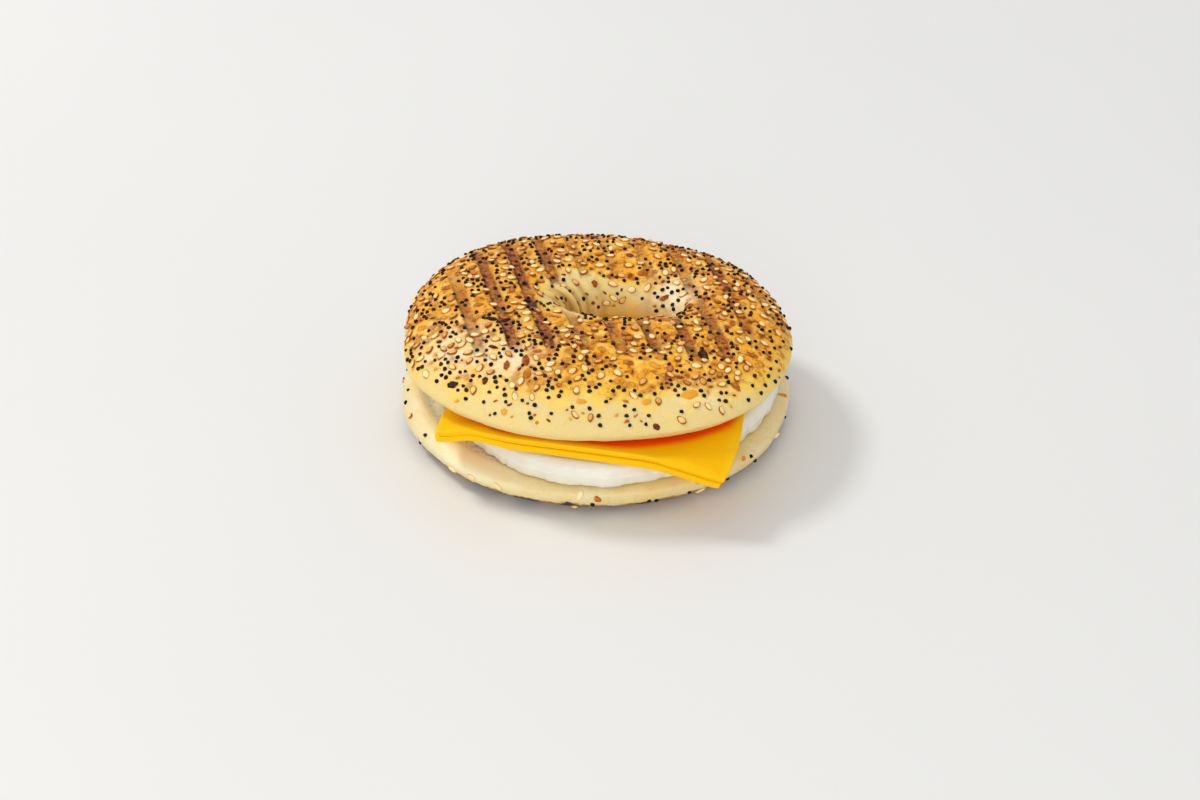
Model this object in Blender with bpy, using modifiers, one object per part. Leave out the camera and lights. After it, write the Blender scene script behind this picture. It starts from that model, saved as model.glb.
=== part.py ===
"""A seeded bagel sandwich: two bagel halves, a round of egg white and two slices of cheese.

Lengths are in metres and Z is up. The bottom half rests on its flat base ring at Z = 0.
Angles run anticlockwise from +X, and the sandwich's front is towards -Y.
"""
import math
import random

import bmesh
import bpy
from mathutils import Matrix, Vector, noise
from mathutils.bvhtree import BVHTree

MM = 0.001

# Where the bagel's middle lies from the middle of the whole sandwich's box
BAGEL_MIDDLE = (0.5 * MM, 2.5 * MM)

# Top half. A radius or height is a mean and waves of one to four turns round the ring,
# each a pair of cosine and sine amounts in millimetres
TOP_RADIUS = 55.1 * MM
TOP_WAVES = ((-0.5, -0.9), (0.8, -0.8), (0.4, -0.1), (-0.8, 0.4))
TOP_CUT = 20.7 * MM
TOP_WIDEST = 24.65 * MM
TOP_WIDEST_WAVES = ((0.0, -0.7), (-0.35, -0.1))
TOP_CROWN = 35.0 * MM
TOP_CROWN_WAVES = ((-1.4, -0.5),)
TOP_FULLNESS = 0.85
TOP_FULLNESS_WAVES = ((0.12, -0.03),)
# Under its widest line the crust turns in to the cut, over this much of a turn
TOP_TUCK = 8.0 * MM
TOP_UNDER = 24.0
# The crown lies nearer the hole at the front, where the crust rolls off slowly
CROWN_SHIFT = 0.42

# The hole through both halves, an oval
HOLE_MIDDLE = (6.5 * MM, 7.6 * MM)
HOLE_HALF_LENGTH = 16.0 * MM
HOLE_HALF_WIDTH = 7.2 * MM
HOLE_FLARE = 0.8 * MM

# Folds of dough in the wall of the top half's hole: angle, width, millimetres they stand in
FOLDS = ((150.0, 7.0, 1.3), (161.0, 4.0, -1.2), (136.0, 5.0, -0.7), (208.0, 9.0, 0.8))
FOLDS_FROM = 100.0
FOLDS_FULL = 150.0

# Swells of the dough: how far they rise, and how far apart they are
BROAD_SWELL = 0.75 * MM
BROAD_PITCH = 24.0 * MM
FINE_SWELL = 0.22 * MM
FINE_PITCH = 9.0 * MM

# Bottom half
BOTTOM_RADIUS = 55.4 * MM
BOTTOM_WAVES = ((-0.5, 0.0), (0.3, 0.0))
BOTTOM_WIDEST = 7.0 * MM
BOTTOM_CUT = 8.8 * MM
BASE_RADIUS = 46.5 * MM
RIM_WIDTH = 4.6 * MM
# The rim stands up beside the egg at the left
SIDE_RISE = 3.2 * MM
SIDE_RISE_AT = 182.0
SIDE_RISE_WIDTH = 34.0
# The bottom half's hole is wider by these at the cut, half way down and at the base
HOLE_GROWTH = (1.0 * MM, 1.2 * MM, 2.2 * MM)

# Egg white, with a flat foot and a rounded shoulder
EGG_RADIUS = 49.8 * MM
EGG_WAVES = ((1.7, -1.8), (-0.9, -0.9), (0.5, 1.3), (0.7, -0.3))
EGG_FOOT = 9.1 * MM
EGG_TOP = 16.2 * MM
EGG_RIPPLE = 0.5 * MM
# Each ring: millimetres in from the outline, and height as a share of the whole
EGG_RINGS = ((14.0, 0.0), (1.4, 0.0), (0.3, 0.12), (0.0, 0.45), (0.2, 0.72), (1.1, 0.90),
             (3.2, 0.99), (9.0, 1.0), (26.0, 0.99))

# Cheese slices: they lie flat on the egg and bend down past its edge
SLICE_SIDE = 80.2 * MM
SLICE_THICKNESS = 1.65 * MM
SLICE_MIDDLE = (3.7 * MM, -12.2 * MM)
SLICE_TURN = -14.1
SLICE_GAP = 0.3 * MM
BEND_PAST_EDGE = 2.0 * MM
BEND_RADIUS = 12.0 * MM
# The steepest slope round the ring: a mean, then each wave's degrees, peak and turns
BEND_ANGLE = 20.0
BEND_WAVES = ((14.0, 20.0, 1), (2.3, 246.0, 2))
# One low wave in both slices near the front left corner
RIPPLE_AT = (-34.5 * MM, -44.5 * MM)
RIPPLE_RADIUS = 6.5 * MM
RIPPLE_HEIGHT = 1.6 * MM
# The upper slice lies a little off the lower one: right, back and degrees
UPPER_SHIFT = (0.5 * MM, 0.4 * MM)
UPPER_TURN = 0.6

# Grill marks pressed into the top, running to the back and a little left
BAR_TURN = 13.0
BAR_PITCH = 9.5 * MM
BAR_MIDDLE = 1.2 * MM
BARS_EACH_SIDE = 4
BAR_WIDTH = 3.8 * MM
BAR_DEPTH = 0.65 * MM
# They fade this far below the crown, towards the front and beside the hole's far wall
BAR_REACH = 3.2 * MM
BAR_FRONT = -28.0 * MM
BAR_FADE = 6.0 * MM
BAR_HOLE_CLEAR = 6.0 * MM
BAR_STEP = 4.2 * MM
BAR_STEPS = 13

# Seeds and flakes fused to the crusts, the largest first, and the room each kind keeps
SEED_START = 11
TOP_SEEDS = (("flake", 17, 6.2 * MM), ("sesame", 96, 3.9 * MM))
BOTTOM_SEEDS = (("sesame", 8, 5.0 * MM),)
SEED_TRIES = 40000
# The flakes that stand out: angle, turn and spin in degrees, half length and width in mm
FLAKE_ROOM = 3.0 * MM
TOP_FLAKES = ((221.4, 18.2, 20.0, 1.8, 1.3), (206.6, 79.5, 5.0, 2.2, 1.0),
              (210.2, 86.0, -8.0, 2.2, 1.0), (238.5, 55.5, 100.0, 2.2, 1.1),
              (242.1, 45.0, 80.0, 2.0, 1.1), (70.5, 119.0, 20.0, 1.6, 1.3),
              (315.0, 23.9, 70.0, 1.7, 1.3), (44.1, 149.3, 30.0, 1.5, 0.8),
              (298.8, 28.4, -10.0, 2.4, 1.5), (263.7, 26.2, -20.0, 1.6, 0.9),
              (284.4, 26.2, 5.0, 1.6, 0.9), (2.7, 137.9, 40.0, 1.6, 1.1),
              (311.0, 60.0, 60.0, 2.0, 1.4))
BOTTOM_FLAKES = ((300.0, 4.0, 10.0, 1.3, 0.8), (316.8, 21.6, 20.0, 0.9, 0.7),
                 (353.7, 53.1, 80.0, 1.2, 0.7), (178.0, 22.0, 60.0, 1.2, 0.6))
# The dense seeds end at this turn of the crust, at the front and round the other sides
SEEDED_FRONT = 41.0
SEEDED_SIDE = 16.0
SEEDED_BLUR = 14.0
# The crust area under one step of angle and turn where the seeds lie as thick as asked
FULL_AREA = 1.2 * MM * MM
# How far the seeds stay from the grill marks
SEED_CLEAR = 1.1 * MM
SEED_LIFT = 0.1 * MM
SEED_REACH = 1.2 * MM

# Steps round each ring
TOP_ROUND = 60
BOTTOM_ROUND = 48
EGG_ROUND = 40
SLICE_CELLS = 10

GOLD = (0.78, 0.47, 0.16, 1.0)
CREAM = (0.88, 0.72, 0.45, 1.0)
WHITE = (0.90, 0.89, 0.82, 1.0)
ORANGE = (0.98, 0.56, 0.03, 1.0)


def wave(mean, terms, angle, unit=MM):
    """A mean value with a cosine and a sine of each whole number of turns added."""
    total = mean
    for turns, (along, across) in enumerate(terms, 1):
        total += unit * (along * math.cos(turns * angle) + across * math.sin(turns * angle))
    return total


def power(value, exponent):
    """A power that keeps the sign."""
    return math.copysign(abs(value) ** exponent, value)


def part_of(value, low, high):
    """How far a value has come from low to high, from 0 to 1."""
    return max(0.0, min(1.0, (value - low) / (high - low)))


def bump(angle, middle, width):
    """A smooth hump of height 1 round the ring, with its middle and width in degrees."""
    away = (math.degrees(angle) - middle + 180.0) % 360.0 - 180.0
    return math.exp(-(away / width) ** 2)


def swell(point, place):
    """Low swells of the dough, different at each whole number place."""
    broad = noise.noise(point / BROAD_PITCH + Vector((7.0 * place, 3.0, 1.0)))
    fine = noise.noise(point / FINE_PITCH + Vector((3.0 * place, 9.0, 5.0)))
    return BROAD_SWELL * broad + FINE_SWELL * fine


def direction(angle):
    return Vector((math.cos(angle), math.sin(angle), 0.0))


def hole_edge(angle, growth=0.0, height=0.0):
    """A point of the hole's oval, made larger all round by the growth."""
    return Vector((HOLE_MIDDLE[0] + (HOLE_HALF_LENGTH + growth) * math.cos(angle),
                   HOLE_MIDDLE[1] + (HOLE_HALF_WIDTH + growth) * math.sin(angle), height))


def top_crust(angle, turn):
    """The top half's crust. The turn is 0 at the widest line, 90 at the crown, 180 in the hole."""
    outer = direction(angle) * wave(TOP_RADIUS, TOP_WAVES, angle)
    inner = hole_edge(angle)
    inward = (inner - outer).normalized()
    widest = wave(TOP_WIDEST, TOP_WIDEST_WAVES, angle)
    crown = wave(TOP_CROWN, TOP_CROWN_WAVES, angle)
    out = inward * -math.cos(math.radians(turn))
    if turn < 0.0:
        under = 0.5 * math.pi * part_of(-turn, 0.0, TOP_UNDER)
        point = outer + inward * TOP_TUCK * (0.5 - 0.5 * math.cos(under) + under / math.pi)
        point.z = widest - (widest - TOP_CUT) * math.sin(under)
    elif turn > 180.0:
        under = part_of(turn, 180.0, 180.0 + TOP_UNDER)
        point = inner - inward * HOLE_FLARE * under * under
        point.z = widest - (widest - TOP_CUT) * under
    else:
        fullness = wave(TOP_FULLNESS, TOP_FULLNESS_WAVES, angle, 1.0)
        across = 0.5 - 0.5 * power(math.cos(math.radians(turn)), fullness)
        front = 0.5 - 0.5 * math.sin(angle)
        point = outer.lerp(inner, across ** (1.0 - CROWN_SHIFT * front))
        point.z = widest + (crown - widest) * math.sin(math.radians(turn)) ** fullness
        out.z = math.sin(math.radians(turn))
    from_cut = min(part_of(turn, -TOP_UNDER, 20.0 - TOP_UNDER),
                   part_of(-turn, -180.0 - TOP_UNDER, -160.0 - TOP_UNDER))
    point += out * swell(point, 1) * from_cut
    if turn > FOLDS_FROM:
        stand = sum(size * bump(angle, middle, width) for middle, width, size in FOLDS)
        point += inward * MM * stand * part_of(turn, FOLDS_FROM, FOLDS_FULL)
    return point


def bottom_crust(angle, turn):
    """The bottom half's crust. The turn is -90 at the base, 0 at the widest line, 90 at the rim."""
    out = direction(angle)
    along = math.cos(math.radians(turn))
    radius = wave(BOTTOM_RADIUS, BOTTOM_WAVES, angle)
    if turn < 0.0:
        point = out * (BASE_RADIUS + (radius - BASE_RADIUS) * along)
        point.z = BOTTOM_WIDEST * (1.0 + math.sin(math.radians(turn)))
    else:
        point = out * (radius - RIM_WIDTH * (1.0 - along))
        point.z = BOTTOM_WIDEST + (rim_height(angle) - BOTTOM_WIDEST) * math.sin(math.radians(turn))
    return point + out * swell(point, 2) * along


def rim_height(angle):
    return BOTTOM_CUT + SIDE_RISE * bump(angle, SIDE_RISE_AT, SIDE_RISE_WIDTH)


def egg_radius(angle):
    return wave(EGG_RADIUS, EGG_WAVES, angle)


def bar_offset(point):
    """How far a point lies to the right of the middle line of the nearest grill mark."""
    across = point.x * math.cos(math.radians(BAR_TURN)) + point.y * math.sin(math.radians(BAR_TURN))
    return (across - BAR_MIDDLE + 0.5 * BAR_PITCH) % BAR_PITCH - 0.5 * BAR_PITCH


def bar_depth(point):
    """How deep a grill mark is pressed at a point of the crust: full near the crown."""
    pressed = wave(TOP_CROWN, TOP_CROWN_WAVES, math.atan2(point.y, point.x))
    reach = part_of(point.z, pressed - BAR_REACH, pressed - 0.5 * BAR_REACH)
    reach = min(reach, part_of(point.y, BAR_FRONT, BAR_FRONT + BAR_FADE))
    if point.y > HOLE_MIDDLE[1]:
        away = math.hypot((point.x - HOLE_MIDDLE[0]) / (HOLE_HALF_LENGTH + BAR_HOLE_CLEAR),
                          (point.y - HOLE_MIDDLE[1]) / (HOLE_HALF_WIDTH + BAR_HOLE_CLEAR))
        reach = min(reach, part_of(away, 0.9, 1.1))
    return BAR_DEPTH * reach * reach * (3.0 - 2.0 * reach)


def clear_scene():
    for item in list(bpy.data.objects):
        bpy.data.objects.remove(item, do_unlink=True)


def new_collection(name):
    group = bpy.data.collections.new(name)
    bpy.context.scene.collection.children.link(group)
    return group


def take_over(item, name, group):
    """Names a new object and moves it to its collection."""
    item.name = name
    item.data.name = name
    for other in list(item.users_collection):
        other.objects.unlink(item)
    group.objects.link(item)
    return item


def empty(group):
    for item in list(group.objects):
        bpy.data.objects.remove(item, do_unlink=True)


def coat(item, name, colour, roughness):
    material = bpy.data.materials.new(name)
    material.use_nodes = True
    surface = material.node_tree.nodes["Principled BSDF"]
    surface.inputs["Base Color"].default_value = colour
    surface.inputs["Roughness"].default_value = roughness
    surface.inputs["Metallic"].default_value = 0.0
    item.data.materials.clear()
    item.data.materials.append(material)


def apply_modifiers(item):
    """Replaces the object's mesh by what its modifiers make of it."""
    bpy.context.view_layer.update()
    graph = bpy.context.evaluated_depsgraph_get()
    mesh = bpy.data.meshes.new_from_object(item.evaluated_get(graph))
    old = item.data
    item.modifiers.clear()
    item.data = mesh
    bpy.data.meshes.remove(old)


def surface_tree(item):
    bpy.context.view_layer.update()
    return BVHTree.FromObject(item, bpy.context.evaluated_depsgraph_get())


def below(tree, place):
    """The point of a surface straight below or above a place, or None."""
    return tree.ray_cast(Vector((place.x, place.y, 1.0)), Vector((0.0, 0.0, -1.0)))[0]


def ring_of(name, group, rounds, section):
    """A ring from the torus primitive, each vertex moved to its point of the section."""
    bpy.ops.mesh.primitive_torus_add(major_segments=rounds, minor_segments=section.count)
    item = take_over(bpy.context.active_object, name, group)
    for vertex in item.data.vertices:
        step, j = divmod(vertex.index, section.count)
        vertex.co = section.point(math.tau * step / rounds, j)
    return item


class TopSection:
    """The top half's section: over the crust from rim to hole, then back along the cut."""

    crust_steps = 16
    cut_steps = 4
    count = crust_steps + cut_steps

    def point(self, angle, j):
        if j <= self.crust_steps:
            return top_crust(angle, -TOP_UNDER + (180.0 + 2.0 * TOP_UNDER) * j / self.crust_steps)
        start = top_crust(angle, 180.0 + TOP_UNDER)
        end = top_crust(angle, -TOP_UNDER)
        return start.lerp(end, (j - self.crust_steps) / self.cut_steps)


class BottomSection:
    """The bottom half's section: up the crust, in along the cut, down the hole, out at the base."""

    under_steps = 4
    over_steps = 3
    # Parts of the way from the rim to the hole
    cut_places = (0.06, 0.3, 0.65, 1.0)
    crust_steps = under_steps + over_steps
    count = crust_steps + len(cut_places) + 4

    def point(self, angle, j):
        if j <= self.under_steps:
            return bottom_crust(angle, -90.0 + 90.0 * j / self.under_steps)
        if j <= self.crust_steps:
            return bottom_crust(angle, 90.0 * (j - self.under_steps) / self.over_steps)
        j -= self.crust_steps + 1
        if j < len(self.cut_places):
            rim = bottom_crust(angle, 90.0)
            rim.z = BOTTOM_CUT
            return rim.lerp(hole_edge(angle, HOLE_GROWTH[0], BOTTOM_CUT), self.cut_places[j])
        j -= len(self.cut_places)
        if j == 0:
            return hole_edge(angle, HOLE_GROWTH[1], 0.5 * BOTTOM_CUT)
        inner = hole_edge(angle, HOLE_GROWTH[2])
        return inner.lerp(direction(angle) * BASE_RADIUS, 0.5 * (j - 1))


def press_grill_marks(item, cutters):
    """Cuts the grill marks with ribbons that follow the crust just below its surface."""
    tree = surface_tree(item)
    across = direction(math.radians(BAR_TURN))
    along = Vector((-across.y, across.x, 0.0))
    for bar in range(-BARS_EACH_SIDE, BARS_EACH_SIDE + 1):
        run = []
        for step in range(-BAR_STEPS, BAR_STEPS + 1):
            place = across * (BAR_MIDDLE + bar * BAR_PITCH) + along * step * BAR_STEP
            hit = below(tree, place)
            if hit is not None and bar_depth(hit) > 0.0:
                run.append(place)
                continue
            if len(run) > 2:
                add_ribbon(run, across, along, tree, cutters)
            run = []
    cut = item.modifiers.new("Grill marks", "BOOLEAN")
    cut.operation = "DIFFERENCE"
    cut.operand_type = "COLLECTION"
    cut.collection = cutters
    apply_modifiers(item)
    empty(cutters)


def add_ribbon(run, across, along, tree, cutters):
    """One cutter: a grid along a run of a grill mark, thickened upwards."""
    rows = [run[0] - along * BAR_STEP] + run + [run[-1] + along * BAR_STEP]
    bpy.ops.mesh.primitive_grid_add(x_subdivisions=1, y_subdivisions=len(rows) - 1)
    ribbon = take_over(bpy.context.active_object, "ribbon", cutters)
    for vertex in ribbon.data.vertices:
        row, side = divmod(vertex.index, 2)
        place = rows[row] + across * (side - 0.5) * BAR_WIDTH
        hit = below(tree, place)
        if hit is None:
            place.z = TOP_CROWN
        elif bar_depth(hit) > 0.02 * MM:
            place.z = hit.z - bar_depth(hit)
        else:
            place.z = hit.z + 0.4 * MM
        vertex.co = place
    thick = ribbon.modifiers.new("Thickness", "SOLIDIFY")
    thick.thickness = 2.0 * MM
    thick.offset = 1.0
    apply_modifiers(ribbon)


def seed_mesh(kind, wanted, rng):
    """A sesame seed, pointed at one end, or a ragged flake, lying flat on the origin."""
    if kind == "flake":
        size = (rng.uniform(1.1, 1.7), rng.uniform(0.8, 1.2), rng.uniform(0.40, 0.55))
        sides = 7
    else:
        size = (rng.uniform(1.4, 1.65), rng.uniform(0.85, 1.0), rng.uniform(0.45, 0.55))
        sides = 6
    if wanted:
        size = (wanted[0], wanted[1], size[2])
    shape = bmesh.new()
    bmesh.ops.create_uvsphere(shape, u_segments=sides, v_segments=3, radius=1.0)
    for vertex in shape.verts:
        x, y, z = vertex.co
        if kind == "flake":
            ragged = 1.0 + 0.22 * rng.uniform(-1.0, 1.0)
            x *= ragged
            y *= ragged
        else:
            y *= 1.0 - 0.28 * x
        vertex.co = (x * size[0] * MM, y * size[1] * MM, z * size[2] * MM)
    mesh = bpy.data.meshes.new(kind)
    shape.to_mesh(mesh)
    shape.free()
    return mesh


def patch(crust, angle, turn):
    """A small area of the crust, as a vector that points out of it."""
    around = crust(angle + 0.01, turn) - crust(angle - 0.01, turn)
    over = crust(angle, turn + 1.0) - crust(angle, turn - 1.0)
    return around.cross(over)


def scatter(crust, turns, flakes, kinds, share, rng):
    """The named flakes, then seeds at random, as dense as the share asks and clear of the others."""
    placed = []
    for angle, turn, spin, long, wide in flakes:
        angle = math.radians(angle)
        out = patch(crust, angle, turn).normalized()
        spin = math.radians(spin)
        placed.append(("flake", crust(angle, turn), out, spin, FLAKE_ROOM, (long, wide)))
    for kind, wanted, room in kinds:
        found = 0
        for attempt in range(SEED_TRIES):
            if found == wanted:
                break
            angle = rng.uniform(0.0, math.tau)
            turn = rng.uniform(*turns)
            chance = rng.random()
            spin = rng.uniform(0.0, math.tau)
            point = crust(angle, turn)
            out = patch(crust, angle, turn)
            if chance * FULL_AREA > share(angle, turn, point) * out.length:
                continue
            if any((point - other[1]).length < 0.5 * (room + other[4]) for other in placed):
                continue
            placed.append((kind, point, out.normalized(), spin, room, None))
            found += 1
    return placed


def seeded_turn(angle):
    """The turn at which the dense seeds end, higher up the crust at the front."""
    back = min(1.0, 1.0 + math.sin(angle))
    return SEEDED_FRONT - (SEEDED_FRONT - SEEDED_SIDE) * back * back


def top_share(angle, turn, point):
    """Seeds lie thick on the top, off its grill marks, and thin out down the sides and in the hole."""
    if bar_depth(point) > 0.0 and abs(bar_offset(point)) < 0.5 * BAR_WIDTH + SEED_CLEAR:
        return 0.0
    inside = math.hypot((point.x - HOLE_MIDDLE[0]) / (HOLE_HALF_LENGTH + 3.0 * MM),
                        (point.y - HOLE_MIDDLE[1]) / (HOLE_HALF_WIDTH + 3.0 * MM))
    if inside < 1.0:
        return 0.12
    end = seeded_turn(angle)
    return 0.06 + 0.94 * part_of(turn, end - SEEDED_BLUR, end + SEEDED_BLUR) ** 2


def bottom_share(angle, turn, point):
    """Few seeds lie on the bottom half, and none at its base or beside the egg."""
    if point.z < 2.0 * MM:
        return 0.0
    if point.z > rim_height(angle) - 0.8 * MM:
        return 0.0
    return 0.5


def fuse(item, seeds, group, rng):
    """Joins the seeds to the crust that they lie on, in one union."""
    tree = surface_tree(item)
    for kind, point, out, spin, room, wanted in seeds:
        spot, face_out, index, distance = tree.find_nearest(point)
        if distance > SEED_REACH:
            continue
        mesh = seed_mesh(kind, wanted, rng)
        turned = out.to_track_quat("Z", "Y").to_matrix() @ Matrix.Rotation(spin, 3, "Z")
        mesh.transform(Matrix.Translation(spot + out * SEED_LIFT) @ turned.to_4x4())
        group.objects.link(bpy.data.objects.new(kind, mesh))
    join = item.modifiers.new("Seeds", "BOOLEAN")
    join.operation = "UNION"
    join.operand_type = "COLLECTION"
    join.collection = group
    join.solver = "MANIFOLD"
    apply_modifiers(item)
    empty(group)


def make_top(group, helpers):
    item = ring_of("bagel_top", group, TOP_ROUND, TopSection())
    press_grill_marks(item, helpers)
    rng = random.Random(SEED_START)
    seeds = scatter(top_crust, (5.0, 176.0), TOP_FLAKES, TOP_SEEDS, top_share, rng)
    fuse(item, seeds, helpers, rng)
    coat(item, "Golden crust", GOLD, 0.55)
    return item


def make_bottom(group, helpers):
    item = ring_of("bagel_bottom", group, BOTTOM_ROUND, BottomSection())
    rng = random.Random(SEED_START + 1)
    seeds = scatter(bottom_crust, (-60.0, 60.0), BOTTOM_FLAKES, BOTTOM_SEEDS, bottom_share, rng)
    fuse(item, seeds, helpers, rng)
    coat(item, "Pale crust", CREAM, 0.6)
    return item


def make_egg(group):
    """The egg white from the sphere primitive, whose rings take the places in EGG_RINGS."""
    levels = len(EGG_RINGS) + 1
    bpy.ops.mesh.primitive_uv_sphere_add(segments=EGG_ROUND, ring_count=levels, radius=1.0)
    item = take_over(bpy.context.active_object, "egg_white", group)
    for vertex in item.data.vertices:
        x, y, z = vertex.co
        level = round(math.acos(max(-1.0, min(1.0, -z))) / math.pi * levels)
        if level == 0:
            vertex.co = (0.0, 0.0, EGG_FOOT)
        elif level == levels:
            vertex.co = (0.0, 0.0, EGG_TOP)
        else:
            inset, share = EGG_RINGS[level - 1]
            angle = math.atan2(y, x)
            radius = egg_radius(angle) - inset * MM
            if inset < 2.0:
                radius -= EGG_RIPPLE * noise.noise(direction(angle) * 3.0)
            vertex.co = direction(angle) * radius
            vertex.co.z = EGG_FOOT + (EGG_TOP - EGG_FOOT) * share
    coat(item, "Egg white", WHITE, 0.4)
    return item


def drape(x, y):
    """Where a point of a flat sheet ends up on the egg, and the way up from the sheet there."""
    angle = math.atan2(y, x)
    start = egg_radius(angle) + BEND_PAST_EDGE
    away = ((x - RIPPLE_AT[0]) ** 2 + (y - RIPPLE_AT[1]) ** 2) / RIPPLE_RADIUS ** 2
    height = EGG_TOP + SLICE_GAP + RIPPLE_HEIGHT * math.exp(-away)
    past = math.hypot(x, y) - start
    if past <= 0.0:
        return Vector((x, y, height)), Vector((0.0, 0.0, 1.0))
    steepest = BEND_ANGLE
    for size, peak, turns in BEND_WAVES:
        steepest += size * math.cos(turns * (angle - math.radians(peak)))
    bend = min(past / BEND_RADIUS, math.radians(steepest))
    straight = past - BEND_RADIUS * bend
    out = direction(angle)
    place = out * (start + BEND_RADIUS * math.sin(bend) + straight * math.cos(bend))
    place.z = height - BEND_RADIUS * (1.0 - math.cos(bend)) - straight * math.sin(bend)
    return place, out * math.sin(bend) + Vector((0.0, 0.0, math.cos(bend)))


def slice_spot(u, v, shift, turn):
    """A point of a flat slice, from -1 to 1 each way, with slightly rounded corners."""
    half = 0.5 * SLICE_SIDE * (1.0 - 0.02 * abs(u * v) ** 12)
    turn = math.radians(SLICE_TURN + turn)
    return (SLICE_MIDDLE[0] + shift[0] + half * (u * math.cos(turn) - v * math.sin(turn)),
            SLICE_MIDDLE[1] + shift[1] + half * (u * math.sin(turn) + v * math.cos(turn)))


def closer_at_edge(value):
    """Spaces the lines of a grid from -1 to 1 closer towards its edges."""
    return math.sin(1.25 * value) / math.sin(1.25)


def make_slice(name, group, lift, shift, turn):
    """A cheese slice: a grid draped over the egg and thickened upwards."""
    bpy.ops.mesh.primitive_grid_add(x_subdivisions=SLICE_CELLS, y_subdivisions=SLICE_CELLS, size=2.0)
    item = take_over(bpy.context.active_object, name, group)
    for vertex in item.data.vertices:
        u = closer_at_edge(vertex.co.x)
        v = closer_at_edge(vertex.co.y)
        place, up = drape(*slice_spot(u, v, shift, turn))
        vertex.co = place + up * lift
    thick = item.modifiers.new("Thickness", "SOLIDIFY")
    thick.thickness = SLICE_THICKNESS
    thick.offset = 1.0
    apply_modifiers(item)
    coat(item, "Cheese", ORANGE, 0.35)
    return item


def main():
    clear_scene()
    parts = new_collection("bagel_sandwich")
    helpers = new_collection("helpers")
    make_bottom(parts, helpers)
    make_egg(parts)
    make_slice("cheese_lower", parts, 0.0, (0.0, 0.0), 0.0)
    make_slice("cheese_upper", parts, SLICE_THICKNESS + SLICE_GAP, UPPER_SHIFT, UPPER_TURN)
    make_top(parts, helpers)
    bpy.data.collections.remove(helpers)
    for item in parts.objects:
        item.data.transform(Matrix.Translation((BAGEL_MIDDLE[0], BAGEL_MIDDLE[1], 0.0)))
        item.data.shade_smooth()
        item.data.set_sharp_from_angle(angle=math.radians(40.0))


if __name__ == "__main__":
    main()
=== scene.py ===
"""A seeded bagel sandwich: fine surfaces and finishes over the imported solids.

Lengths are in metres and Z is up. Angles run anticlockwise from +X, and the front is -Y.
The shapes of the dough, the egg and the cheese repeat the named values of the part's source.
"""
import random
from math import atan2, copysign, cos, degrees, exp, hypot, pi, radians, sin, tau

import bmesh
import bpy
import numpy as np
from mathutils import Matrix, Vector, noise
from mathutils.bvhtree import BVHTree
from mathutils.kdtree import KDTree


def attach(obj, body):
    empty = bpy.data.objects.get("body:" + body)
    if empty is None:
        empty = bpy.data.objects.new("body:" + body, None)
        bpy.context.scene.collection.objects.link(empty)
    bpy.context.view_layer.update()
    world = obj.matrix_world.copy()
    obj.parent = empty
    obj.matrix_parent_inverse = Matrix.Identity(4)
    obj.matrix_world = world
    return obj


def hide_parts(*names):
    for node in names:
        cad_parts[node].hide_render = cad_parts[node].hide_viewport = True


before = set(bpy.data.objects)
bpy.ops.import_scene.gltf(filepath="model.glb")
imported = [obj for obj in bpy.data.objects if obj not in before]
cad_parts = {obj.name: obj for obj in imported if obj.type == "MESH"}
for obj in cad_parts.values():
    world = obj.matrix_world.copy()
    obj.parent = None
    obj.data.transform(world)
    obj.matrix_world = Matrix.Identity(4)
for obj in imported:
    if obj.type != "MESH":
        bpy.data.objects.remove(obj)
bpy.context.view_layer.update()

bl_info = {
    "name": "Bagel Sandwich",
    "version": (1, 0, 0),
    "blender": (4, 5, 0),
    "location": "3D View > Sidebar > Bagel",
    "description": "Makes a seeded bagel sandwich with egg white and two slices of cheese",
    "category": "Add Mesh",
}

MM = 0.001
BAGEL_MIDDLE = Vector((0.5, 2.5, 0.0)) * MM

# Top half: means, and waves of one to four turns as cosine and sine amounts in millimetres
TOP_RADIUS = 55.1 * MM
TOP_WAVES = ((-0.5, -0.9), (0.8, -0.8), (0.4, -0.1), (-0.8, 0.4))
TOP_CUT = 20.7 * MM
TOP_WIDEST = 24.65 * MM
TOP_WIDEST_WAVES = ((0.0, -0.7), (-0.35, -0.1))
TOP_CROWN = 35.0 * MM
TOP_CROWN_WAVES = ((-1.4, -0.5),)
TOP_FULLNESS = 0.85
TOP_FULLNESS_WAVES = ((0.12, -0.03),)
TOP_TUCK = 8.0 * MM
TOP_UNDER = 24.0
CROWN_SHIFT = 0.42

# The hole, an oval, with its folds: angle, width, and millimetres that they stand in
HOLE_MIDDLE = (6.5 * MM, 7.6 * MM)
HOLE_HALF_LENGTH = 16.0 * MM
HOLE_HALF_WIDTH = 7.2 * MM
HOLE_FLARE = 0.8 * MM
FOLDS = ((150.0, 7.0, 1.3), (161.0, 4.0, -1.2), (136.0, 5.0, -0.7), (208.0, 9.0, 0.8))
FOLDS_FROM = 100.0
FOLDS_FULL = 150.0
# Finer creases on its wall: angle, width, and share of their height, below 0 for a furrow
CREASES = ((108.0, 4.0, -0.5), (118.0, 3.0, 0.8), (126.0, 2.6, -0.8), (133.0, 3.0, 1.3),
           (140.5, 2.4, -1.3), (148.0, 3.6, 1.1), (155.5, 2.2, -1.1), (166.0, 3.0, 0.9),
           (176.0, 3.6, -0.8), (60.0, 5.0, -0.4))
CREASES_FROM = 115.0
CREASES_FULL = 150.0
CREASE_HEIGHT = 0.6 * MM

# Swells of the dough: height, and how far apart they are
BROAD_SWELL = 0.75 * MM
BROAD_PITCH = 24.0 * MM
FINE_SWELL = 0.22 * MM
FINE_PITCH = 9.0 * MM

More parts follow.
